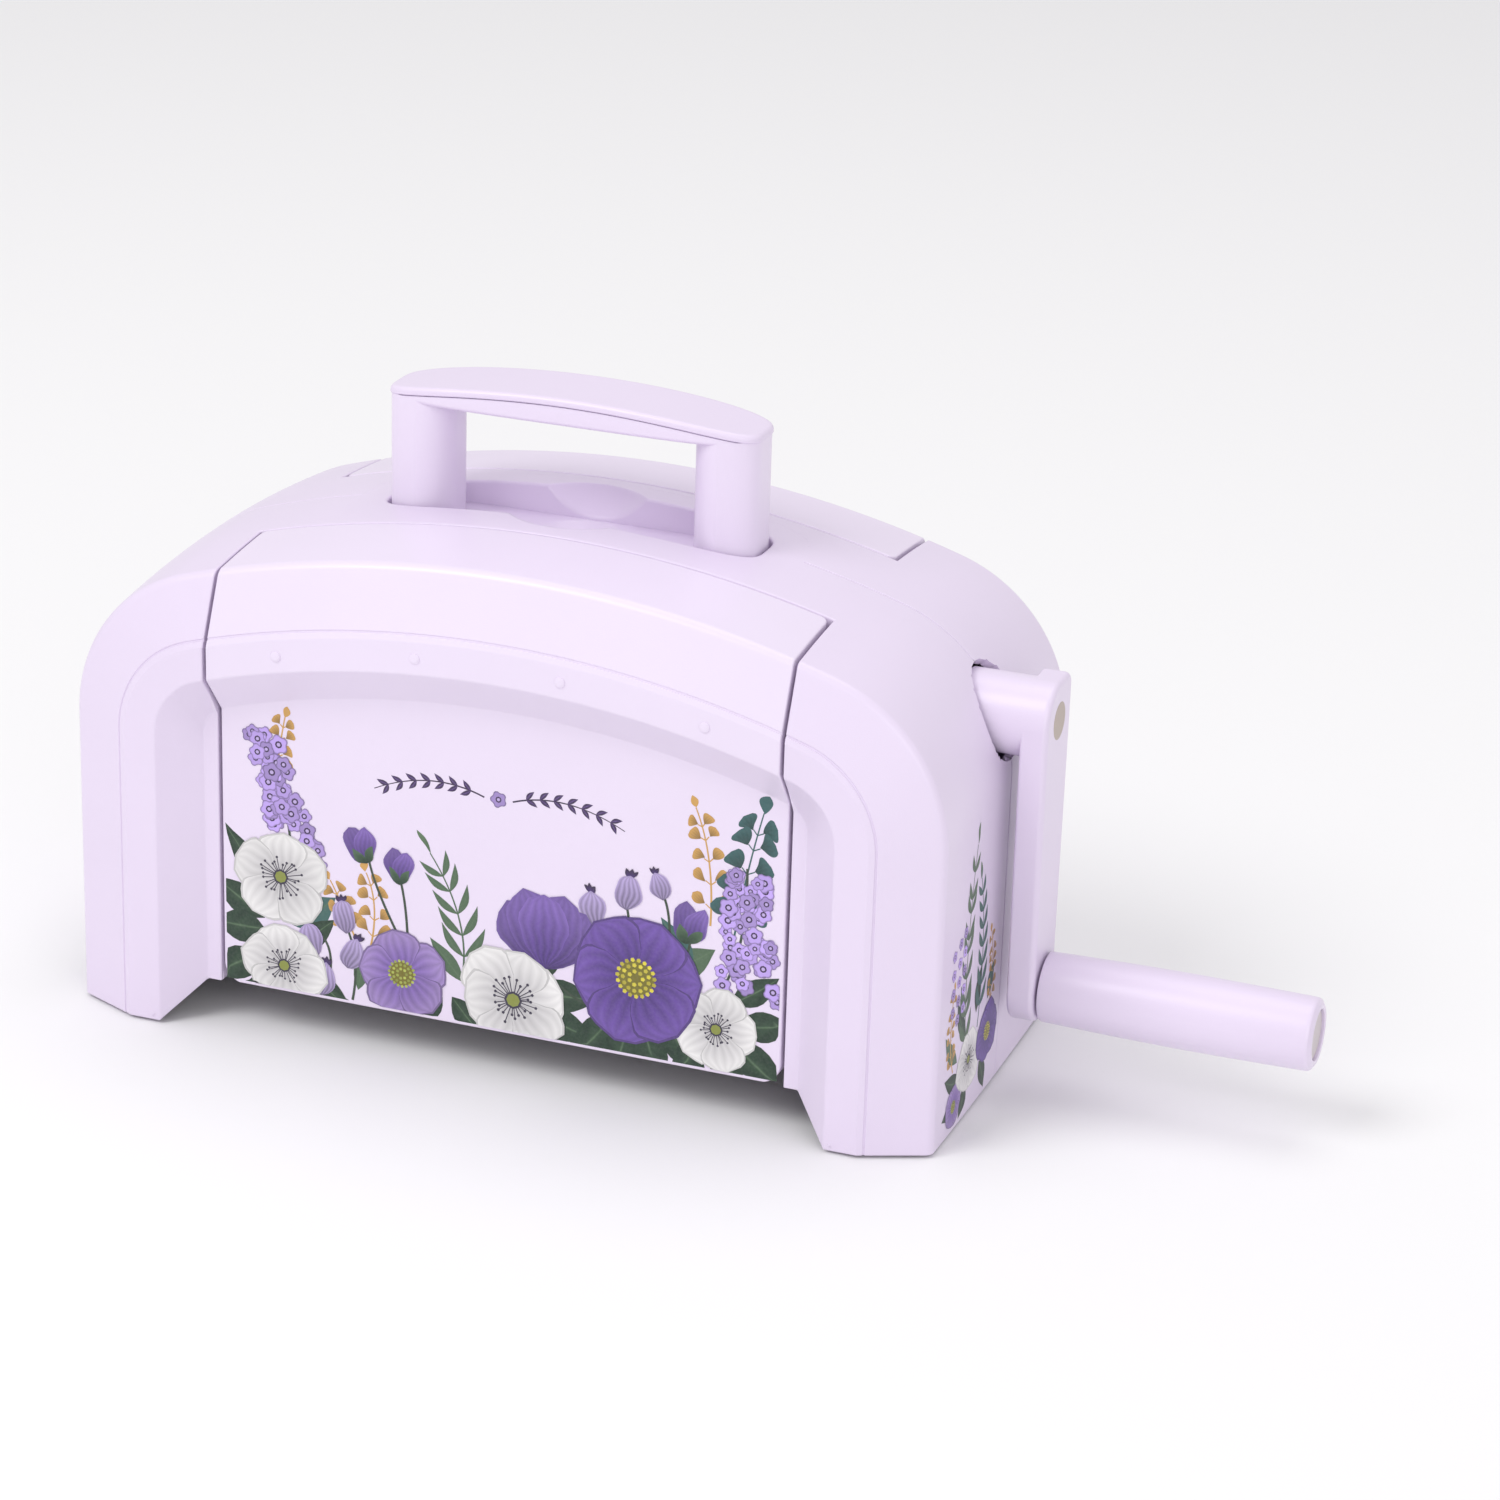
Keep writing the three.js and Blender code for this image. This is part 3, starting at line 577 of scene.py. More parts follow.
def caseHalf(name, side):
    rows = depthRows()
    backRow = int(np.argmin(np.abs(rows[:, 0] - doorway["back"])))
    groove = grooveRows(rows)
    start = doorway["halfWidth"]
    near = doorway["lip"] * lipSteps
    skin = Skin()
    x = np.linspace(-start, start, 121)
    crownX, crownY = np.meshgrid(x, rows[: backRow + 1, 0])
    crown = np.stack([crownX, crownY, archHeightAt(crownX, 0.0, riseAt(crownY))], 2)
    out = gridNormals(crown)
    crown -= out * lipDrop(doorway["back"] - crownY, doorway["lip"])[..., None]
    crown -= out * lipDrop(crownY - 0.15, 0.35)[..., None]
    keep = slotReach(crownX, crownY) > patch["edge"] - 2.5
    ids = skin.block(crown, keep)
    skin.wall(ids[-1], np.tile((0.0, 0.0, -1.0), (len(x), 1)), doorway["wall"])
    for hand in (1, -1):
        lines = []
        for depth, inset in rows:
            drop = max(0.0, (inset - shell["rimInner"]) / (shell["panelInset"] - shell["rimInner"]))
            rise = float(riseAt(depth))
            whole = archRun(start, inset, rise, drop * doorway["bottom"], np.linspace(0, 1, 400))
            length = np.hypot(*np.diff(whole, axis=0).T).sum()
            at = np.concatenate([near / length, np.linspace(0.009, 0.991, 104), 1 - near[::-1] / length])
            line = archRun(start, inset, rise, drop * doorway["bottom"], at)
            lines.append(np.column_stack([line[:, 0], np.full(len(line), depth), line[:, 1]]))
        grid = np.stack(lines)
        foot = grid[-1]
        narrow = []
        for t in (0.2, 0.45, 0.7, 0.85, 0.93, 0.98, 1.0):  # the narrow face beside the door
            row = foot.copy()
            row[:, 0] += (start - foot[:, 0]) * t
            narrow.append(row)
        grid = np.concatenate([grid, np.stack(narrow)])
        away = mend(gridNormals(grid))
        away[groove] = away[groove[0] - 1]
        grid[..., 0] *= hand
        away[..., 0] *= hand
        across = np.maximum(0, np.abs(grid[..., 0]) - start)
        behind = np.maximum(0, doorway["back"] - grid[..., 1])
        inset = np.minimum(shell["panelInset"], rowInset(rows, len(grid)))
        floor = np.clip((inset - shell["rimInner"]) / 13, 0, 1)
        aboveFoot = grid[..., 2] - (floor * doorway["bottom"])[:, None]
        drop = lipDrop(np.hypot(across, behind), doorway["lip"])
        drop = np.maximum(drop, lipDrop(grid[..., 1] - 0.15, 0.35))
        drop = np.maximum(drop, lipDrop(aboveFoot, doorway["lip"]))
        shaped = grid - away * drop[..., None]
        if hand > 0:
            shaped = hubHole(shaped)
        ids = skin.block(np.nan_to_num(shaped), ~np.isnan(shaped[..., 0]))
        seam = np.concatenate([ids[backRow:, 0], ids[-1, 1:]])
        edge = skin.points[seam]
        sink = np.minimum(edge[:, 2], door["flankTop"]) - edge[:, 2]
        inward = np.stack([0 * edge[:, 0], doorway["aim"] - edge[:, 1], sink], 1)
        inward /= np.maximum(1.0, np.linalg.norm(inward, axis=1, keepdims=True))
        inward[:, 0] = hand * doorway["lean"]
        skin.wall(seam, inward, doorway["wall"])
        upright = np.zeros((len(ids), 3))
        upright[:, :2] = -away[:, -1, :2]
        skin.wall(ids[:, -1], upright, 1.1, 1)
    return skinObject(name, skin, side, (60, 20, 176))


def rowInset(rows, count):
    return np.concatenate([rows[:, 1], np.full(count - len(rows), shell["panelInset"])])


def hubHole(grid):
    # Opens the side round the crank's hub: points just inside the circle move onto it, the rest go.
    y, z = grid[..., 1], grid[..., 2] - hub["height"]
    far = np.hypot(y, z)
    inside = (far < hub["hole"]) & (grid[..., 0] > 120)
    near = np.zeros_like(inside)
    for axis in (0, 1):
        for step in (1, -1):
            near |= np.roll(~inside, step, axis)
    onto = inside & near
    gone = inside & ~near
    scale = hub["hole"] / np.maximum(far, 0.1)
    newY = np.where(onto, y * scale, y)
    newZ = np.where(onto, z * scale, z) + hub["height"]
    centreX, _, shoulderZ, _ = archCentres(riseAt(newY))
    up = np.maximum(0, newZ - shoulderZ)
    newX = centreX + np.sqrt(np.maximum(0, arch["shoulder"] ** 2 - up**2))
    out = grid.copy()
    out[..., 0] = np.where(onto, newX, out[..., 0])
    out[..., 1] = np.where(onto, newY, out[..., 1])
    out[..., 2] = np.where(onto, newZ, out[..., 2])
    out[gone] = np.nan
    return out


def doorSkin(name, side):
    profile = frontProfile()[::-1]
    lip = door["lip"]
    topInset = profile[0, 1]
    low = np.concatenate([lip * lipSteps, np.linspace(1.2, door["lowCorner"], 7), np.linspace(9, 90, 26)])
    back = door["back"] + lip * lipSteps
    wrap = np.concatenate([[53, 49, 45, 41, 38, 36.2, 35, 34.2, 33.6, 33.1], back[::-1]])
    edge = door["halfWidth"] - lip * lipSteps
    x = np.concatenate([-edge, np.linspace(-98, 98, 99), edge[::-1]])
    lines = []
    for up in low:
        at = x * (door["halfWidth"] - lipDrop(up, door["lowCorner"])) / door["halfWidth"]
        top = archHeightAt(at, topInset)
        level = door["bottom"] + 20
        z = door["bottom"] + up if up < 20 else level + (top - level) * (up - 20) / 71
        lines.append(np.column_stack([at, np.full(len(x), shell["panel"]), z * np.ones(len(x))]))
    for depth, inset in profile:
        lines.append(np.column_stack([x, np.full(len(x), depth), archHeightAt(x, inset, riseAt(depth))]))
    for depth in wrap:
        pull = lipDrop(depth - door["back"], door["backCorner"])
        at = x * (door["halfWidth"] - pull) / door["halfWidth"]
        lines.append(np.column_stack([at, np.full(len(x), depth), archHeightAt(at, 0.0, riseAt(depth))]))
    grid = np.stack(lines)
    away = mend(-gridNormals(grid))
    groove = grooveRows(profile) + len(low)
    away[groove] = away[groove[-1] + 1]
    halfWidth = np.abs(grid[:, :1, 0])
    d = np.minimum(halfWidth - np.abs(grid[..., 0]), lip)
    d[: len(low)] = np.minimum(d[: len(low)], (grid[: len(low), :, 2] - door["bottom"]))
    d[-len(wrap) :] = np.minimum(d[-len(wrap) :], grid[-len(wrap) :, :, 1] - door["back"])
    shaped = grid - away * lipDrop(d, lip)[..., None]
    skin = Skin()
    ids = skin.block(shaped)
    for column in (0, -1):
        edge = shaped[:, column]
        target = edge.copy()
        target[:, 1] = door["back"] + 0.4 + door["sillClear"] * np.clip((24 - edge[:, 2]) / 6, 0, 1)
        target[:, 2] = np.minimum(edge[:, 2], door["flankTop"])
        skin.wall(ids[:, column], target - edge, 1.0, 6)
    skin.wall(ids[0], np.tile((0.0, -1.0, 0.0), (len(x), 1)), 2.2, 1)
    skin.wall(ids[-1], np.tile((0.0, 0.0, -1.0), (len(x), 1)), 2.4, 1)
    return skinObject(name, skin, side, (40, 55, 168))


def rimNubs(side):
    # Four small domes on a door's rim, sunk a little into it.
    turn = np.linspace(0, 2 * pi, nub["sides"], endpoint=False)
    parts = []
    for x in nub["across"]:
        z = float(archHeightAt(x, nub["inset"]))
        loops = []
        for level, share in nub["profile"]:
            r = nub["radius"] * share
            depth = np.full(len(turn), side * (shell["rim"] + level))
            loops.append(np.column_stack([x + r * np.cos(turn), depth, z + r * np.sin(turn)]))
        parts.append(stackLoops(loops))
    return joined(parts)


# the top: the handle's slot and the finger scoop, in loops that follow the slot

patch = {"edge": 13.0, "lip": 1.1, "wall": 1.2, "under": 0.02}


def superEllipse(grow, count=(60, 200)):
    # One turn of the handle's outline, grown; closer points at the blunt ends.
    a = handle["halfLength"] + grow
    b = max(0.0, handle["halfWidth"] + grow)
    power = handle["power"]
    end, side = count
    t = np.linspace(-0.8, 0.8, end, endpoint=False)
    y = np.sign(t) * np.abs(t) ** 1.3
    endX = (1 - np.abs(y) ** power) ** (1 / power)
    limit = endX[0]
    x = np.linspace(limit, -limit, side, endpoint=False)
    sideY = (1 - np.abs(x) ** power) ** (1 / power)
    right = np.stack([endX, y], 1)
    top = np.stack([x, sideY], 1)
    top[0, 1] = np.abs(y[0])
    unit = np.concatenate([right, top, -right, -top])
    return unit * (a, b)


def softMin(a, b, width):
    return 0.5 * (a + b - np.sqrt((a - b) ** 2 + width**2))


def topPatch():
    lip = patch["lip"]
    gap = handle["slotGap"]
    loops = []

    def surfaceAt(x, y):
        inside = np.maximum(1e-6, scoop["radius"] ** 2 - x**2 - y**2)
        bowl = np.where(np.hypot(x, y) < scoop["radius"] - 0.01, scoop["height"] - np.sqrt(inside), 999)
        return softMin(archHeightAt(x, 0.0, riseAt(y)) - patch["under"], bowl, 0.35), bowl

    def floorAt(line):
        bowl = surfaceAt(line[:, 0], line[:, 1])[1]
        return softMin(np.full(len(line), handle["slotFloor"]), bowl, 0.3)

    rim = lip * (1 - np.sin(np.linspace(0, pi / 2, 7)))
    outer = np.concatenate([np.linspace(patch["edge"], lip + 0.3, 44), rim])
    for grow in outer:
        line = superEllipse(gap + grow)
        top, _ = surfaceAt(line[:, 0], line[:, 1])
        drop = lipDrop(np.array(grow), lip) if grow < lip else 0.0
        loops.append(np.column_stack([line, top - drop]))
    line = superEllipse(gap)
    top = loops[-1][:, 2]
    for t in (0.15, 0.35, 0.6, 0.85, 1.0):
        loops.append(np.column_stack([line, top + (np.minimum(floorAt(line), top - 0.05) - top) * t]))
    for grow in np.linspace(-0.4, -handle["halfWidth"] - gap + 0.02, 40):
        line = superEllipse(gap + grow)
        loops.append(np.column_stack([line, floorAt(line)]))
    grid = np.stack(loops)
    skin = Skin()
    skin.points = grid.reshape(-1, 3)
    skin.faces = gridFaces(*grid.shape[:2], closed=True)
    return skinObject("top_slot_and_scoop", skin, 1, (30, 27, 178))


# solids with rounded edges


def outlineNormals(outline):
    ahead = np.roll(outline, -1, 0) - outline
    behind = outline - np.roll(outline, 1, 0)
    ahead /= np.maximum(1e-9, np.linalg.norm(ahead, axis=1, keepdims=True))
    behind /= np.maximum(1e-9, np.linalg.norm(behind, axis=1, keepdims=True))
    along = ahead + behind
    along /= np.maximum(1e-9, np.linalg.norm(along, axis=1, keepdims=True))
    return np.stack([along[:, 1], -along[:, 0]], 1)


def roundedBlock(outline, levels, axis, steps=5):
    # A prism with rounded ends. The outline runs anticlockwise; levels are (position, edge radius).
    outline = np.asarray(outline, float)
    away = outlineNormals(outline)
    (low, lowRadius), (high, highRadius) = levels
    loops = []
    for turn in np.linspace(0, pi / 2, steps + 1):
        loops.append((outline - away * lowRadius * (1 - sin(turn)), low + lowRadius * (1 - cos(turn))))
    for turn in np.linspace(pi / 2, 0, steps + 1):
        loops.append((outline - away * highRadius * (1 - sin(turn)), high - highRadius * (1 - cos(turn))))
    placed = []
    for line, level in loops:
        flat = np.full(len(line), level)
        order = {"z": (line[:, 0], line[:, 1], flat), "x": (flat, line[:, 0], line[:, 1])}[axis]
        placed.append(np.column_stack(order))
    return stackLoops(placed)


def handlePieces():
    # The handle's frame, a bar on two posts, and the crowned cap on top of it.
    joint = handle["top"] - handle["cap"]

    def crowned(grow, top, below=0.0):
        line = superEllipse(grow, (24, 60))
        z = top - arch["crown"] + np.sqrt(arch["crown"] ** 2 - line[:, 0] ** 2) - below
        return np.column_stack([line, z])

    def level(grow, z):
        line = superEllipse(grow, (24, 60))
        return np.column_stack([line, np.full(len(line), z)])

    width = handle["halfWidth"]
    top = handle["top"]
    topEdge = 1.5
    capLoops = [crowned(grow, joint) for grow in (-width, -6, -0.8)]
    capLoops += [crowned(-0.25, joint, -0.05), crowned(0, joint, -0.4), crowned(0, top, topEdge)]
    for turn in np.linspace(0, pi / 2, 6)[1:]:
        capLoops.append(crowned(-topEdge * (1 - cos(turn)), top, topEdge * (1 - sin(turn))))
    capLoops += [crowned(grow, top) for grow in (-2.6, -4, -6, -8.5, -11, -13.5, -width)]
    cap = stackLoops(capLoops, False, False)
    bottom = handle["underside"]
    underEdge = 1.4
    barLoops = [level(grow, bottom) for grow in (-width, -8, -2.4)]
    for turn in np.linspace(0, pi / 2, 5)[1:]:
        barLoops.append(level(-0.45 - underEdge * (1 - sin(turn)), bottom + underEdge * (1 - cos(turn))))
    barLoops += [crowned(-0.45, joint, 0.75), crowned(-0.6, joint, 0.35)]
    barLoops += [crowned(grow, joint, 0.3) for grow in (-1.1, -6, -width)]
    bar = stackLoops(barLoops, False, False)
    posts = []
    for hand in (1, -1):
        edge = superEllipse(-0.4, (24, 90))
        corner = handle["postCorner"]
        edge = edge[edge[:, 0] > handle["postStart"] + corner + 0.1]
        edge = edge[np.argsort(np.arctan2(edge[:, 1], edge[:, 0] - 50))]
        half = edge[:, 1].max()
        turn = np.linspace(pi / 2, pi, 14)
        innerX = handle["postStart"] + corner + corner * np.cos(turn)
        inner = np.stack([innerX, half - corner + corner * np.sin(turn)], 1)
        outline = np.concatenate([edge, inner, inner[::-1] * (1, -1)])
        if hand < 0:
            outline = (outline * (-1, 1))[::-1]
        posts.append(roundedBlock(outline, ((handle["postBottom"], 0.8), (bottom + 1.8, 0.01)), "z"))
    return joined([bar, *posts]), cap


# the crank

crank = {"inner": 158.3, "outer": 167.5, "halfWidth": 12, "grip": 35.5, "gripRadius": 12.6, "edge": 2.0}


def armOutline():
    # A head for the hub, round in front and squarer behind, and a round foot for the grip.
    r, corner, top = hub["radius"], hub["corner"], hub["height"]
    turn = np.linspace(0, pi / 2, 10)
    square = np.stack([r - corner + corner * np.cos(turn), top + r - corner + corner * np.sin(turn)], 1)
    turn = np.linspace(pi / 2, pi + 0.1, 26)
    head = np.stack([r * np.cos(turn), top + r * np.sin(turn)], 1)
    turn = np.linspace(pi, 2 * pi, 30)
    low = crank["halfWidth"]
    foot = np.stack([low * np.cos(turn), crank["grip"] + low * np.sin(turn)], 1)
    return np.concatenate([square, head, foot, [(r, top - 3)]])


def crankArm():
    arm = roundedBlock(armOutline(), ((crank["inner"], 1.0), (crank["outer"], crank["edge"])), "x", 6)
    r = hub["radius"]
    low, high = hub["start"], crank["inner"] + 1.2
    flare = [(low, 0), (low, r - 1), (low + 0.4, r - 0.4), (low + 1, r), (high, r), (high, 0)]
    return joined([arm, turned(flare, 0, hub["height"], 96)])


def screwCap():
    face = crank["outer"]
    profile = [(face - 1.5, 0), (face - 1.5, 6.3), (face + 0.02, 6.3), (face + 0.1, 6.05)]
    profile += [(face + 0.1, 5.6), (face + 0.04, 5.2), (face + 0.08, 3), (face + 0.1, 0)]
    return turned(profile, 0, hub["height"], 64)


def gripSleeve():
    # A turned sleeve, fuller in the middle, with a crisp shoulder at the arm and a soft one outside.
    start, end = 168.4, 260.0
    r = crank["gripRadius"]
    profile = [(start, 4.6), (start, r - 1.5), (start + 0.2, r - 1.1), (start + 0.6, r - 0.9)]
    for t in np.linspace(0.02, 1, 16):
        swell = 0.9 * sin(min(1, t * 1.6) * pi / 2) - 0.45 * t**3
        profile.append((start + 0.6 + t * 86.6, r - 0.9 + swell))
    turn = np.linspace(0, pi / 2, 7)[1:]
    profile += [(end - 2.8 + 2.0 * sin(t), r - 0.45 - 0.9 * (1 - cos(t))) for t in turn]
    profile += [(end - 0.3, r - 2.1), (end, r - 2.6), (end, 8.9), (end - 0.25, 8.55)]
    profile += [(end - 3.2, 8.5), (end - 3.2, 4.6)]
    profile = np.array(profile + [profile[0]])
    angle = np.linspace(0, 2 * pi, 96, endpoint=False)
    ring = np.stack([np.zeros(96), np.cos(angle), np.sin(angle)], 1)
    loops = np.stack([np.array([a, 0, crank["grip"]]) + ring * radius for a, radius in profile])
    return loops.reshape(-1, 3), gridFaces(len(profile), 96, closed=True)


def gripEnd():
    face = 259.0
    profile = [(256, 0), (256, 8.3), (face - 0.3, 8.3), (face, 8.0), (face, 6)]
    profile += [(face - 0.15, 3), (face - 0.2, 0)]
    return turned(profile, 0, crank["grip"], 64)


# the walls inside the case, beside the doorway


def pierced(outline, holes, low, high):
    # A plate across X, cut from an outline in (depth, height), with round holes.
    lines = [np.asarray(outline, float)]
    for y, z, radius in holes:
        turn = np.linspace(0, 2 * pi, 40, endpoint=False)
        lines.append(np.stack([y + radius * np.cos(turn), z + radius * np.sin(turn)], 1)[::-1])
    flat = np.concatenate(lines)
    triangles = tessellate_polygon([[Vector((a, b, 0)) for a, b in line] for line in lines])
    count = len(flat)
    points = np.concatenate([np.column_stack([np.full(count, x), flat]) for x in (low, high)])
    faces = []
    for a, b, c in triangles:
        faces += [(a, b, c), (a + count, c + count, b + count)]
    start = 0
    for line in lines:
        n = len(line)
        for i in range(n):
            a, b = start + i, start + (i + 1) % n
            faces.append((a, b, b + count, a + count))
        start += n
    return points, faces


def innerWalls(name, side):
    x = doorway["halfWidth"] + 1.5
    profile = frontProfile()
    profile = profile[profile[:, 1] < shell["panelInset"] - 1]
    depth = np.concatenate([np.linspace(0.2, 56, 14), profile[:, 0]])
    inset = np.concatenate([np.zeros(14), profile[:, 1]])
    curve = np.stack([depth, archHeightAt(x, inset, riseAt(depth))], 1)
    closed = np.concatenate([curve, [(0.2, curve[-1, 1])]])
    away = outlineNormals(closed)[: len(curve)]
    curve = curve + away * 1.6  # drawn in from the case's skin
    outline = [(0.2, doorway["bottom"] + 0.4), (0.2, curve[0, 1]), *curve[1:], (shell["panel"] - 1.6, 108)]
    outline += [(shell["panel"] - 1.6, doorway["bottom"] + 0.4)]
    outline = np.array(outline)
    outline[:, 0] *= side
    holes = [(side * 44, 32, 2.8), (side * 20, 24, 6), (side * 22.5, 104, 6)]
    parts = []
    for hand in (1, -1):
        low, high = sorted((hand * (doorway["halfWidth"] + 0.1), hand * (doorway["halfWidth"] + 3)))
        parts.append(pierced(outline, holes, low, high))
    return closedNormals(makeMesh(name, *joined(parts)))


def closedNormals(obj):
    with opened(obj) as bm:
        bmesh.ops.remove_doubles(bm, verts=bm.verts, dist=0.00001)
        bmesh.ops.recalc_face_normals(bm, faces=bm.faces)
    return obj


for end, side in (("front", -1), ("rear", 1)):
    plastic, wall = finishes["case"], shell["wall"]
    finish(caseHalf(f"{end}_case_shell", side), "case", plastic, [f"{end}_case"], wall)
    finish(innerWalls(f"{end}_case_walls", side), "case", plastic)
    plastic, body = finishes["door"], f"{end}_door"
    finish(doorSkin(f"{end}_door_shell", side), body, plastic, [body], wall)
    nubs = closedNormals(makeMesh(f"{end}_door_nubs", *rimNubs(side)))
    finish(nubs, body, plastic)
print("stage: shells built")

finish(topPatch(), "case", finishes["case"], ["handle_well"], patch["wall"])
barAndPosts, cover = handlePieces()
for name, solid, body, look, slotName, node in (
    ("handle_bar_and_posts", barAndPosts, "carry_handle", "door", "door_plastic", "handle_frame"),
    ("handle_cover", cover, "carry_handle", "case", "case_plastic", "handle_top_cap"),
    ("crank_arm_and_hub", crankArm(), "crank", "case", "case_plastic", "crank_arm"),
    ("crank_screw_cap", screwCap(), "crank", "cap", "cap_plastic", "crank_cap"),
    ("grip_sleeve", gripSleeve(), "grip", "case", "case_plastic", "crank_grip"),
    ("grip_end_disc", gripEnd(), "grip", "endDisc", "grey_plastic", "grip_end_cap"),
):
    finish(closedNormals(makeMesh(name, *solid)), body, finishes[look], [node])
print("stage: handle and crank built")

# the printed flowers: every petal, leaf and stem is a thin sheet of ink over the ones before it

ink = {
    "lift": 0.03,  # millimetres in front of the plastic
    "step": 0.0015,  # each sheet in front of the last
    "edge": 98.3,
    "foot": 15.6,
    "seed": 11,
}
tint = {
    "deep": (0.30, 0.20, 0.50),
    "purple": (0.46, 0.34, 0.68),
    "mid": (0.52, 0.41, 0.72),
    "light": (0.66, 0.56, 0.80),
    "lilac": (0.74, 0.67, 0.86),
    "floret": (0.64, 0.55, 0.79),
    "white": (0.95, 0.945, 0.94),
    "shade": (0.74, 0.73, 0.74),
    "stamen": (0.22, 0.20, 0.27),
    "yellow": (0.83, 0.78, 0.26),
    "lime": (0.66, 0.70, 0.32),
    "leaf": (0.09, 0.19, 0.13),
    "rib": (0.36, 0.46, 0.34),
    "green": (0.30, 0.40, 0.30),
    "teal": (0.22, 0.38, 0.38),
    "gold": (0.80, 0.62, 0.34),
    "stem": (0.22, 0.28, 0.22),
    "dark": (0.20, 0.14, 0.26),
}
tint = {name: np.array(colour) for name, colour in tint.items()}


def linear(colour):
    return np.where(colour < 0.04045, colour / 12.92, ((colour + 0.055) / 1.055) ** 2.4)


def heading(degrees):
    return np.array([cos(radians(degrees)), sin(radians(degrees))])


def blendOf(a, b, t):
    return a + (b - a) * t[..., None]


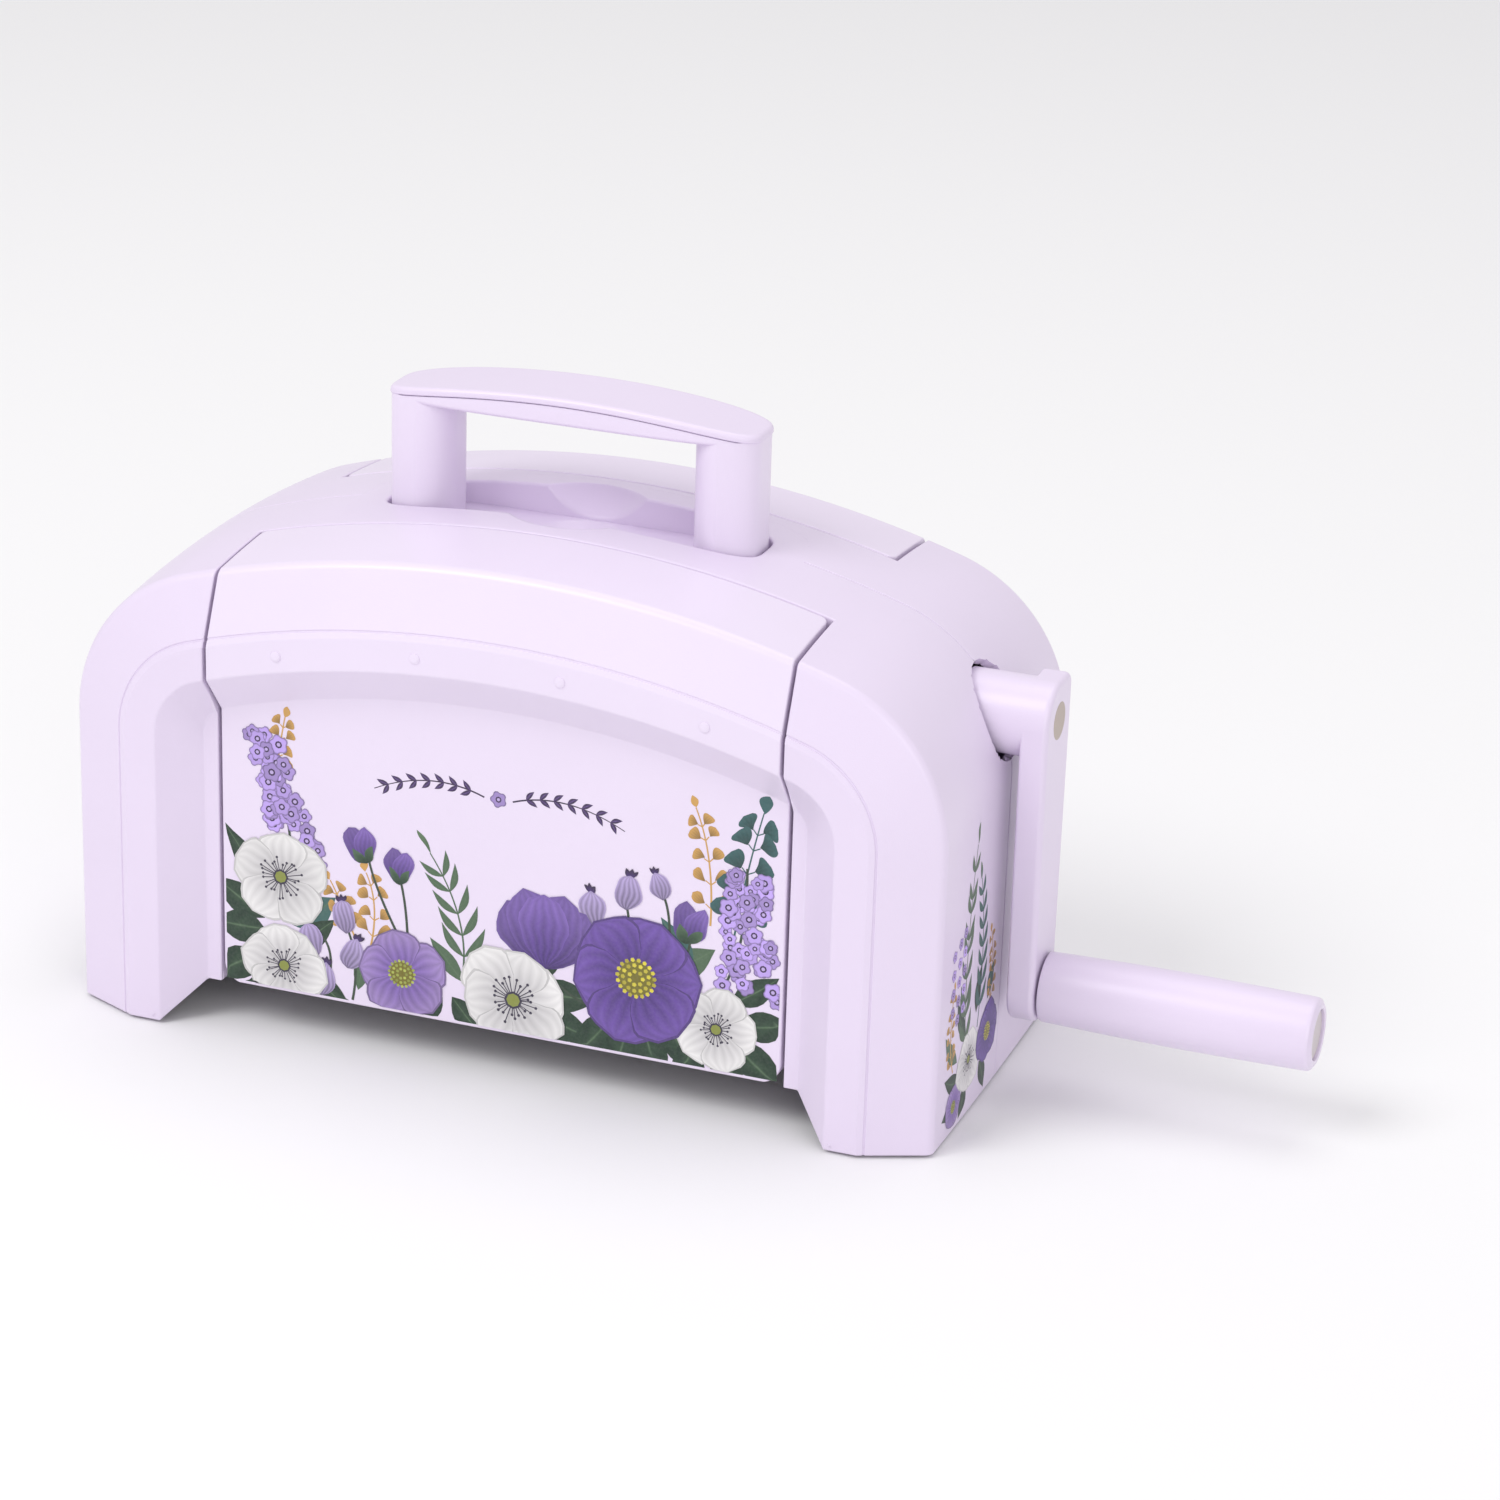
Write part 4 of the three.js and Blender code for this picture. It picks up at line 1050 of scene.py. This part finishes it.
class Print:
    # sheets of ink on one face of the machine; place turns (across, up, lift) into points

    def __init__(self, place):
        self.place = place
        self.points, self.colours, self.faces = [], [], []
        self.count = 0
        self.level = 0
        self.chance = np.random.default_rng(ink["seed"])

    def lay(self, grid, colour):
        rows, columns = grid.shape[:2]
        self.level += 1
        self.points.append(self.place(*grid.reshape(-1, 2).T, ink["lift"] + ink["step"] * self.level))
        self.colours.append(linear(np.clip(np.broadcast_to(colour, (rows, columns, 3)), 0, 1)).reshape(-1, 3))
        self.faces.append(gridFaces(rows, columns) + self.count)
        self.count += rows * columns

    def petal(self, at, turn, length, width, inner, outer, vein, fullness=1.35, blunt=0.62):
        # A blade: half its width is a sine of the way along, raised to a power; darker veins run along it.
        u = np.linspace(0, 1, 11)[:, None]
        v = np.linspace(-1, 1, 11)[None]
        half = width / 2 * np.sin(pi * u**fullness).clip(0) ** blunt
        along = length * u + 0 * v
        side = half * v
        c, w = heading(turn)
        x, z = at[0] + along * c - side * w, at[1] + along * w + side * c
        shaken = [x + 0.34 * np.sin(0.7 * z + 0.3 * x), z + 0.34 * np.sin(0.75 * x - 0.3 * z)]
        grid = np.stack(shaken, 2)  # the edges waver as if drawn by hand
        lines = np.arange(11) % 2 * vein * (1 - 0.55 * u)
        tone = blendOf(inner, outer, np.clip(u * 1.15 + 0.25 * v**2, 0, 1)) * (1 - lines[..., None])
        self.lay(grid, tone)

    def leaf(self, tail, tip, width, colour="leaf", rib="rib", bend=0.06):
        tail, tip = np.array(tail, float), np.array(tip, float)
        way = tip - tail
        length = np.hypot(*way)
        turn = atan2(way[1], way[0])
        u = np.linspace(0, 1, 9)[:, None]
        v = np.array([-1, -0.55, -0.1, 0, 0.1, 0.55, 1])[None]
        side = width / 2 * np.sin(pi * u**0.85).clip(0) ** 1.1 * v + bend * length * np.sin(pi * u)
        along = u * length + 0 * v
        x = tail[0] + along * cos(turn) - side * sin(turn)
        grid = np.stack([x, tail[1] + along * sin(turn) + side * cos(turn)], 2)
        centre = np.clip(1 - np.abs(v) * 8, 0, 1) + 0 * u
        veins = 0.22 * np.abs(np.sin(9 * u + 3 * np.abs(v)))
        tone = blendOf(tint[colour], tint[rib], np.clip(0.75 * centre + veins, 0, 1))
        self.lay(grid, tone)

    def line(self, points, width, colour, taper=0.4):
        # A ribbon along a smooth curve through the points.
        points = np.array(points, float)
        t = np.linspace(0, len(points) - 1, 4 * len(points) + 5)
        k = np.arange(len(points))
        if len(points) == 3:
            a, b, c = points
            q = (t / 2)[:, None]
            path = a * (1 - q) * (1 - 2 * q) + b * 4 * q * (1 - q) + c * q * (2 * q - 1)
        else:
            path = np.stack([np.interp(t, k, points[:, 0]), np.interp(t, k, points[:, 1])], 1)
        way = np.gradient(path, axis=0)
        way /= np.linalg.norm(way, axis=1, keepdims=True)
        across = np.stack([-way[:, 1], way[:, 0]], 1) * (width / 2 * (1 - taper * t / t[-1]))[:, None]
        self.lay(np.stack([path - across, path + across], 1), tint[colour])
        return path

    def dot(self, at, radius, colour, columns=9):
        ring = np.linspace(0, 2 * pi, columns)
        rim = np.stack([np.cos(ring), np.sin(ring)], 1) * radius
        colour = tint[colour] if isinstance(colour, str) else colour
        self.lay(np.stack([rim * 0 + at, rim + at]), colour)

    def flower(self, at, radius, kind, petals, turn):
        looks = {
            "white": ("shade", "white", "stamen", "lime"),
            "purple": ("deep", "purple", "yellow", "yellow"),
            "light": ("purple", "light", "lime", "yellow"),
        }
        inner, outer, dots, heart = (tint[name] for name in looks[kind])
        base = self.level
        for i in range(petals):
            lean = turn + 360 * i / petals + self.chance.uniform(-6, 6)
            size = radius * self.chance.uniform(0.9, 1.08)
            self.level = base + 2 * i
            shade = self.chance.uniform(0.93, 1.0)
            edge, vein = (0.86, 0.1) if kind == "white" else (0.74, 0.2)
            self.petal(at, lean, size, radius * 1.06, inner * 0.8, outer * edge * shade, 0.0, 1.5)
            self.petal(at, lean, size * 0.965, radius * 0.99, inner, outer * shade, vein, 1.5)
        self.level = base + 2 * petals
        if kind == "white":
            for i in range(26):
                way = 2 * pi * i / 26 + self.chance.uniform(-0.1, 0.1)
                reach = radius * self.chance.uniform(0.26, 0.46)
                tip = np.array(at) + reach * np.array([cos(way), sin(way)])
                self.level = base + 2 * petals
                self.line([at, tip], radius * 0.018, "stamen", 0)
                self.dot(tip, radius * 0.03, "stamen", columns=6)
            self.dot(at, radius * 0.16, "stamen")
            self.dot(at, radius * 0.12, tint["lime"] * 0.8)
        else:
            self.dot(at, radius * 0.27, heart * 0.55)
            for ring, count in ((0.1, 7), (0.19, 13), (0.27, 19)):
                for i in range(count):
                    way = 2 * pi * i / count + ring * 9
                    spot = np.array(at) + radius * ring * np.array([cos(way), sin(way)])
                    self.level = base + 2 * petals + 2
                    self.dot(spot, radius * 0.034, dots * self.chance.uniform(0.8, 1.08), columns=6)

    def cup(self, at, height, width):
        # A flower from the side: petals stand up from its foot, the front ones last.
        stand = ((122, 0.9, 0.8), (58, 0.92, 0.84), (106, 1.0, 0.9), (76, 0.98, 0.88), (92, 0.93, 1.0))
        for lean, length, tone in stand:
            outer = tint["mid"] * (0.4 + 0.6 * tone)
            self.petal(at, lean, height * length, width * 0.52, tint["deep"] * tone, outer, 0.2)

    def bud(self, at, turn, size):
        self.petal(at, turn + 14, size, size * 0.62, tint["deep"], tint["mid"] * 0.86, 0.15, 1.0)
        self.petal(at, turn - 12, size * 0.95, size * 0.55, tint["deep"] * 0.9, tint["mid"], 0.2, 1.0)
        for lean in (34, -34):
            self.petal(at, turn + lean, size * 0.5, size * 0.24, tint["leaf"], tint["green"], 0.0, 1.0, 0.9)

    def pod(self, at, turn, size):
        # A striped seed pod with a little crown.
        crown = np.array(at) + heading(turn) * size * 0.93
        for lean in (-38, 0, 38):
            spike = size * 0.26
            self.petal(crown, turn + lean, spike, spike / 2, tint["deep"], tint["dark"], 0.0, 1.0, 0.9)
        self.petal(at, turn, size, size * 0.72, tint["lilac"] * 0.80, tint["lilac"], 0.34, 1.0, 0.62)

    def sprig(self, points, pairs, length, width, colour, rib, spread, blunt=False):
        path = self.line(points, 0.7, colour)
        base = self.level
        for i in range(pairs):
            t = (i + 1) / (pairs + 0.6) * 0.97
            k = min(len(path) - 2, int(t * (len(path) - 1)))
            at = path[k]
            way = path[k + 1] - path[k]
            ahead = np.degrees(atan2(way[1], way[0]))
            for hand in (1, -1):
                size = length * (1 - 0.42 * t)
                lean = ahead + hand * spread
                self.level = base + 3 * (i % 2) + (hand > 0)
                if blunt:
                    stalk = at + 0.35 * size * heading(lean)
                    self.line([at, stalk], 0.4, colour, 0)
                    dark = tint[colour] * 0.7
                    self.petal(stalk, lean, size * 0.75, width, dark, tint[rib], 0.12, 1.9, 0.5)
                else:
                    tip = at + size * heading(lean)
                    self.leaf(at, tip, width * (1 - 0.3 * t), colour, rib, 0.08 * hand)
        self.petal(path[-1], ahead, length * 0.6, width * 0.6, tint[colour], tint[rib], 0.0, 1.2, 0.8)

    def floret(self, at, size):
        # Five round petals in one sheet: the radius rises and falls five times round the turn.
        tone = tint["floret"] * self.chance.uniform(0.95, 1.22)
        ring = np.linspace(0, 2 * pi, 26)
        turn = self.chance.uniform(0, 1.2)
        reach = size * (0.66 + 0.34 * np.abs(np.cos(2.5 * ring)) ** 0.7)
        way = np.stack([np.cos(ring + turn), np.sin(ring + turn)], 1)
        grid = np.stack([at + way * reach[:, None] * t for t in (0, 0.8, 1.0)])
        shades = np.stack([np.full((26, 3), k) * tone for k in (1.0, 1.0, 0.62)])
        self.lay(grid, shades)
        self.dot(at, size * 0.36, tint["dark"] * 1.2, columns=9)
        self.dot(at, size * 0.2, tint["lilac"], columns=7)

    def piece(self, name, body):
        points = np.concatenate(self.points)
        obj = makeMesh(name, points, np.concatenate(self.faces))
        colours = obj.data.color_attributes.new("ink", "FLOAT_COLOR", "POINT")
        rgba = np.concatenate([np.concatenate(self.colours), np.ones((len(points), 1))], 1)
        colours.data.foreach_set("color", rgba.astype(np.float32).ravel())
        with opened(obj) as bm:
            bmesh.ops.dissolve_degenerate(bm, edges=bm.edges, dist=1e-7)
        obj.data.materials.append(finishes["ink"])
        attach(obj, body)


def doorFace(side):
    # The panel of a door: across runs to the right of someone who faces it.
    def place(across, up, lift):
        x = np.clip(across, -ink["edge"], ink["edge"])
        depth = np.full(len(x), side * (shell["panel"] + lift))
        return np.column_stack([x * -side, depth, np.maximum(up, ink["foot"])])

    return place


def sideFace(hand):
    # A flat side of the case, low down; across is the depth, and the face swells a little towards the middle.
    def place(across, up, lift):
        x = arch["halfWidth"] + shell["spread"] * riseAt(across) + lift
        return np.column_stack([hand * x, across, np.maximum(up, 1.5)])

    return place


doorBouquet = {
    "leaves": [
        ((-84, 44), (-99, 72), 9, "leaf"), ((-84, 40), (-103, 52), 11, "leaf"),
        ((-84, 36), (-103, 36), 12, "leaf"), ((-84, 26), (-104, 14), 12, "leaf"),
        ((-76, 40), (-58, 52), 12, "teal"), ((-70, 30), (-58, 44), 8, "leaf"),
        ((-66, 24), (-52, 12), 8, "leaf"), ((-78, 18), (-94, 9), 8, "leaf"),
        ((-50, 20), (-44, 36), 6, "green"), ((-20, 26), (-30, 11), 9, "leaf"),
        ((-16, 24), (-4, 11), 9, "leaf"), ((-12, 30), (-24, 44), 6, "green"),
        ((12, 30), (36, 32), 12, "leaf"), ((12, 26), (36, 18), 12, "leaf"),
        ((24, 28), (16, 10), 10, "leaf"), ((42, 30), (25, 9), 12, "leaf"),
        ((46, 26), (41, 5), 12, "leaf"), ((52, 26), (58, 5), 12, "leaf"),
        ((56, 30), (74, 10), 12, "leaf"), ((60, 46), (76, 58), 10, "green"),
        ((70, 26), (62, 9), 10, "leaf"), ((78, 28), (86, 6), 12, "leaf"),
        ((80, 28), (103, 10), 13, "leaf"), ((84, 32), (104, 36), 11, "leaf"),
        ((82, 40), (98, 52), 9, "leaf"), ((22, 42), (8, 38), 7, "leaf"),
        ((68, 48), (57, 66), 8, "teal"),
    ],
    "stems": [
        [(-34, 40), (-42, 56), (-46, 68)], [(-32, 42), (-33, 54), (-35, 64)],
        [(-62, 16), (-60, 30), (-64, 38)], [(-52, 16), (-51, 30), (-54, 42)],
        [(40, 48), (36, 56), (34, 62)], [(46, 52), (46, 62), (45, 68)],
        [(60, 46), (66, 54), (67, 62)], [(34, 30), (24, 34), (17, 42)],
        [(60, 50), (60, 64), (58, 73)], [(76, 40), (84, 60), (86, 88)],
        [(-74, 56), (-76, 80), (-84, 104)],
    ],
    "roundSprigs": [
        ([(-80, 88), (-78, 102), (-76, 113)], 4, 6.4, 4.2, "gold"),
        ([(-46, 34), (-44, 50), (-47, 63)], 4, 7.4, 4.4, "gold"),
        ([(-50, 36), (-55, 48), (-60, 58)], 3, 6.8, 4.2, "gold"),
        ([(74, 66), (73, 88), (68, 106)], 5, 7.6, 4.4, "gold"),
        ([(82, 62), (86, 86), (91, 108)], 5, 10.5, 7.6, "teal"),
    ],
}


def bouquet(p):
    chance = p.chance
    for tail, tip, width, colour in doorBouquet["leaves"]:
        p.leaf(tail, tip, width, colour, "rib", chance.uniform(-0.08, 0.08))
    for points in doorBouquet["stems"]:
        p.line(points, 0.9, "stem", 0.1)
    p.level = 6
    p.sprig([(-12, 34), (-14, 54), (-24, 74)], 5, 15, 3.2, "green", "rib", 34)
    for points, pairs, length, width, colour in doorBouquet["roundSprigs"]:
        p.level = 6
        p.sprig(points, pairs, length, width, colour, colour, 52, True)
    clusters = [((-69, 60), (-85, 107), 9, 62, 3.2), ((88, 44), (86, 88), 10, 56, 3.1)]
    for low, high, spread, count, size in clusters:
        for i in range(count):
            t = (i + 0.5) / count
            middle = np.array(low) + (np.array(high) - low) * t
            width = spread * (1.05 - 0.5 * t)
            at = middle + (chance.uniform(-width, width), chance.uniform(-3, 3))
            p.level = 60 + 3 * (i % 14)
            p.floret(at, size * chance.uniform(0.8, 1.15))
    for at, turn, size in (((-47, 66), 104, 14), ((-35, 61), 88, 13), ((66, 58), 78, 15)):
        p.level = 104
        p.bud(at, turn, size)
    pods = [((-54, 40), 100, 12), ((-65, 30), 110, 12), ((-54, 27), 70, 12), ((-63, 15.8), 84, 12)]
    pods += [((34, 58), 96, 13), ((45, 66), 84, 13), ((58, 72), 108, 10)]
    for i, (at, turn, size) in enumerate(pods):
        p.level = 110 + 4 * (i % 4)
        p.pod(at, turn, size)
    p.level = 128
    p.cup((17, 40), 29, 34)
    for at, radius, kind, petals, turn, level in (
        ((-78, 56), 17.5, "white", 5, 20, 134),
        ((-77, 24), 15.5, "white", 6, 50, 154),
        ((77, 30), 15, "white", 5, 5, 134),
        ((-34, 29), 17, "light", 5, 30, 134),
        ((6, 27), 20, "white", 6, 12, 154),
        ((49, 43), 24, "purple", 6, 8, 176),
    ):
        p.level = level
        p.flower(at, radius, kind, petals, turn)
    for hand in (1, -1):  # a slim flourish across the top
        p.level = 6
        path = p.line([(hand * 5, 97), (hand * 24, 99.5), (hand * 44, 93.5)], 0.55, "dark", 0.5)
        for k in range(2, len(path) - 1, 2):
            way = path[k + 1] - path[k]
            ahead = np.degrees(atan2(way[1], way[0]))
            for lean in (38, -38):
                p.level = 7
                p.leaf(path[k], path[k] + 4.4 * heading(ahead + lean), 1.7, "dark", "mid")
    p.level = 8
    p.floret((0, 97), 3.0)


def sideSpray(p):
    for tail, tip, width, colour in (
        ((-40, 16), (-56, 22), 7, "leaf"), ((-42, 12), (-57, 8), 7, "leaf"),
        ((-34, 12), (-40, 2), 7, "leaf"), ((-44, 24), (-57, 38), 6, "green"),
        ((-20, 14), (-14, 2), 7, "leaf"), ((-26, 34), (-22, 50), 6, "leaf"),
        ((-36, 30), (-46, 46), 6, "leaf"), ((-14, 34), (-8, 46), 6, "teal"),
    ):
        p.leaf(tail, tip, width, colour, "rib")
    for points, pairs, length, width, colour in (
        ([(-36, 24), (-38, 60), (-33, 96)], 9, 12, 3.4, "green"),
        ([(-24, 28), (-22, 56), (-27, 82)], 7, 11, 3.2, "teal"),
    ):
        p.level = 6
        p.sprig(points, pairs, length, width, colour, "rib", 30)
    for points in ([(-48, 22), (-52, 36), (-50, 52)], [(-12, 30), (-10, 44), (-13, 58)]):
        p.level = 6
        p.sprig(points, 6, 5, 3, "gold", "gold", 52, True)
    for i in range(14):
        p.level = 12 + 3 * (i % 3)
        p.floret((-46 + 6 * sin(i * 2.1), 40 + i * 2.2), 2.2)
    blooms = [((-32, 20), 12, "white", 30), ((-13, 22), 11, "purple", 50), ((-46, 9), 8, "light", 30)]
    for at, radius, kind, level in blooms:
        p.level = level
        p.flower(at, radius, kind, 6, 15)


for end, side in (("front", -1), ("rear", 1)):
    doorPrint = Print(doorFace(side))
    bouquet(doorPrint)
    doorPrint.piece(f"{end}_door_print", f"{end}_door")
for end, hand in (("right", 1), ("left", -1)):
    sidePrint = Print(sideFace(hand))
    sideSpray(sidePrint)
    sidePrint.piece(f"{end}_side_print", "case")
print("stage: flowers printed")


# finishes for the CAD pieces that stay in sight

for name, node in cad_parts.items():
    if node.hide_render:
        continue
    kind = "steel"
    if "platform" in name or "hood" in name or "guide" in name:
        kind = "grey"
    elif "clip" in name:
        kind = "nylon"
    elif "foot" in name:
        kind = "rubber"
    elif "bush" in name:
        kind = "bronze"
    elif "plate" in name or "sill" in name or "base_bar" in name:
        kind = "zinc"
    node.data.materials.clear()
    node.data.materials.append(finishes[kind])
    node.data.polygons.foreach_set("use_smooth", np.ones(len(node.data.polygons), bool))
    node.data.set_sharp_from_angle(angle=radians(32))

# floor and light

studio = {
    "floor": (0.90, 0.90, 0.905),
    "world": 0.70,
    "key": {"place": (-1.1, -1.5, 2.3), "aim": (0, 0, 0.08), "size": 1.5, "power": 27},
    "fill": {"place": (1.6, -1.9, 1.1), "aim": (0, 0, 0.08), "size": 1.8, "power": 11},
    "top": {"place": (0.1, 0.5, 2.4), "aim": (0, 0, 0.1), "size": 1.6, "power": 9},
}


def softLight(name, place, aim, size, power):
    data = bpy.data.lights.new(name, "AREA")
    data.shape = "DISK"
    data.size = size
    data.energy = power
    light = bpy.data.objects.new(name, data)
    light.location = place
    light.rotation_euler = (Vector(aim) - Vector(place)).to_track_quat("-Z", "Y").to_euler()
    bpy.context.scene.collection.objects.link(light)


def layFloor():
    mesh = bpy.data.meshes.new("floor")
    reach = 12
    corners = [(-reach, -reach, 0), (reach, -reach, 0), (reach, reach, 0), (-reach, reach, 0)]
    mesh.from_pydata(corners, [], [(0, 1, 2, 3)])
    floor = bpy.data.objects.new("floor", mesh)
    bpy.context.scene.collection.objects.link(floor)
    f = Finish("pale floor")
    floor.data.materials.append(f.feed(Base_Color=studio["floor"], Roughness=0.9))


layFloor()
for name in ("key", "fill", "top"):
    softLight(name, **studio[name])
world = bpy.data.worlds.new("studio air")
world.use_nodes = True
world.node_tree.nodes["Background"].inputs[0].default_value = (1.0, 0.985, 1.0, 1)
world.node_tree.nodes["Background"].inputs[1].default_value = studio["world"]
bpy.context.scene.world = world
bpy.context.scene.view_settings.view_transform = "Standard"
print("stage: studio set")
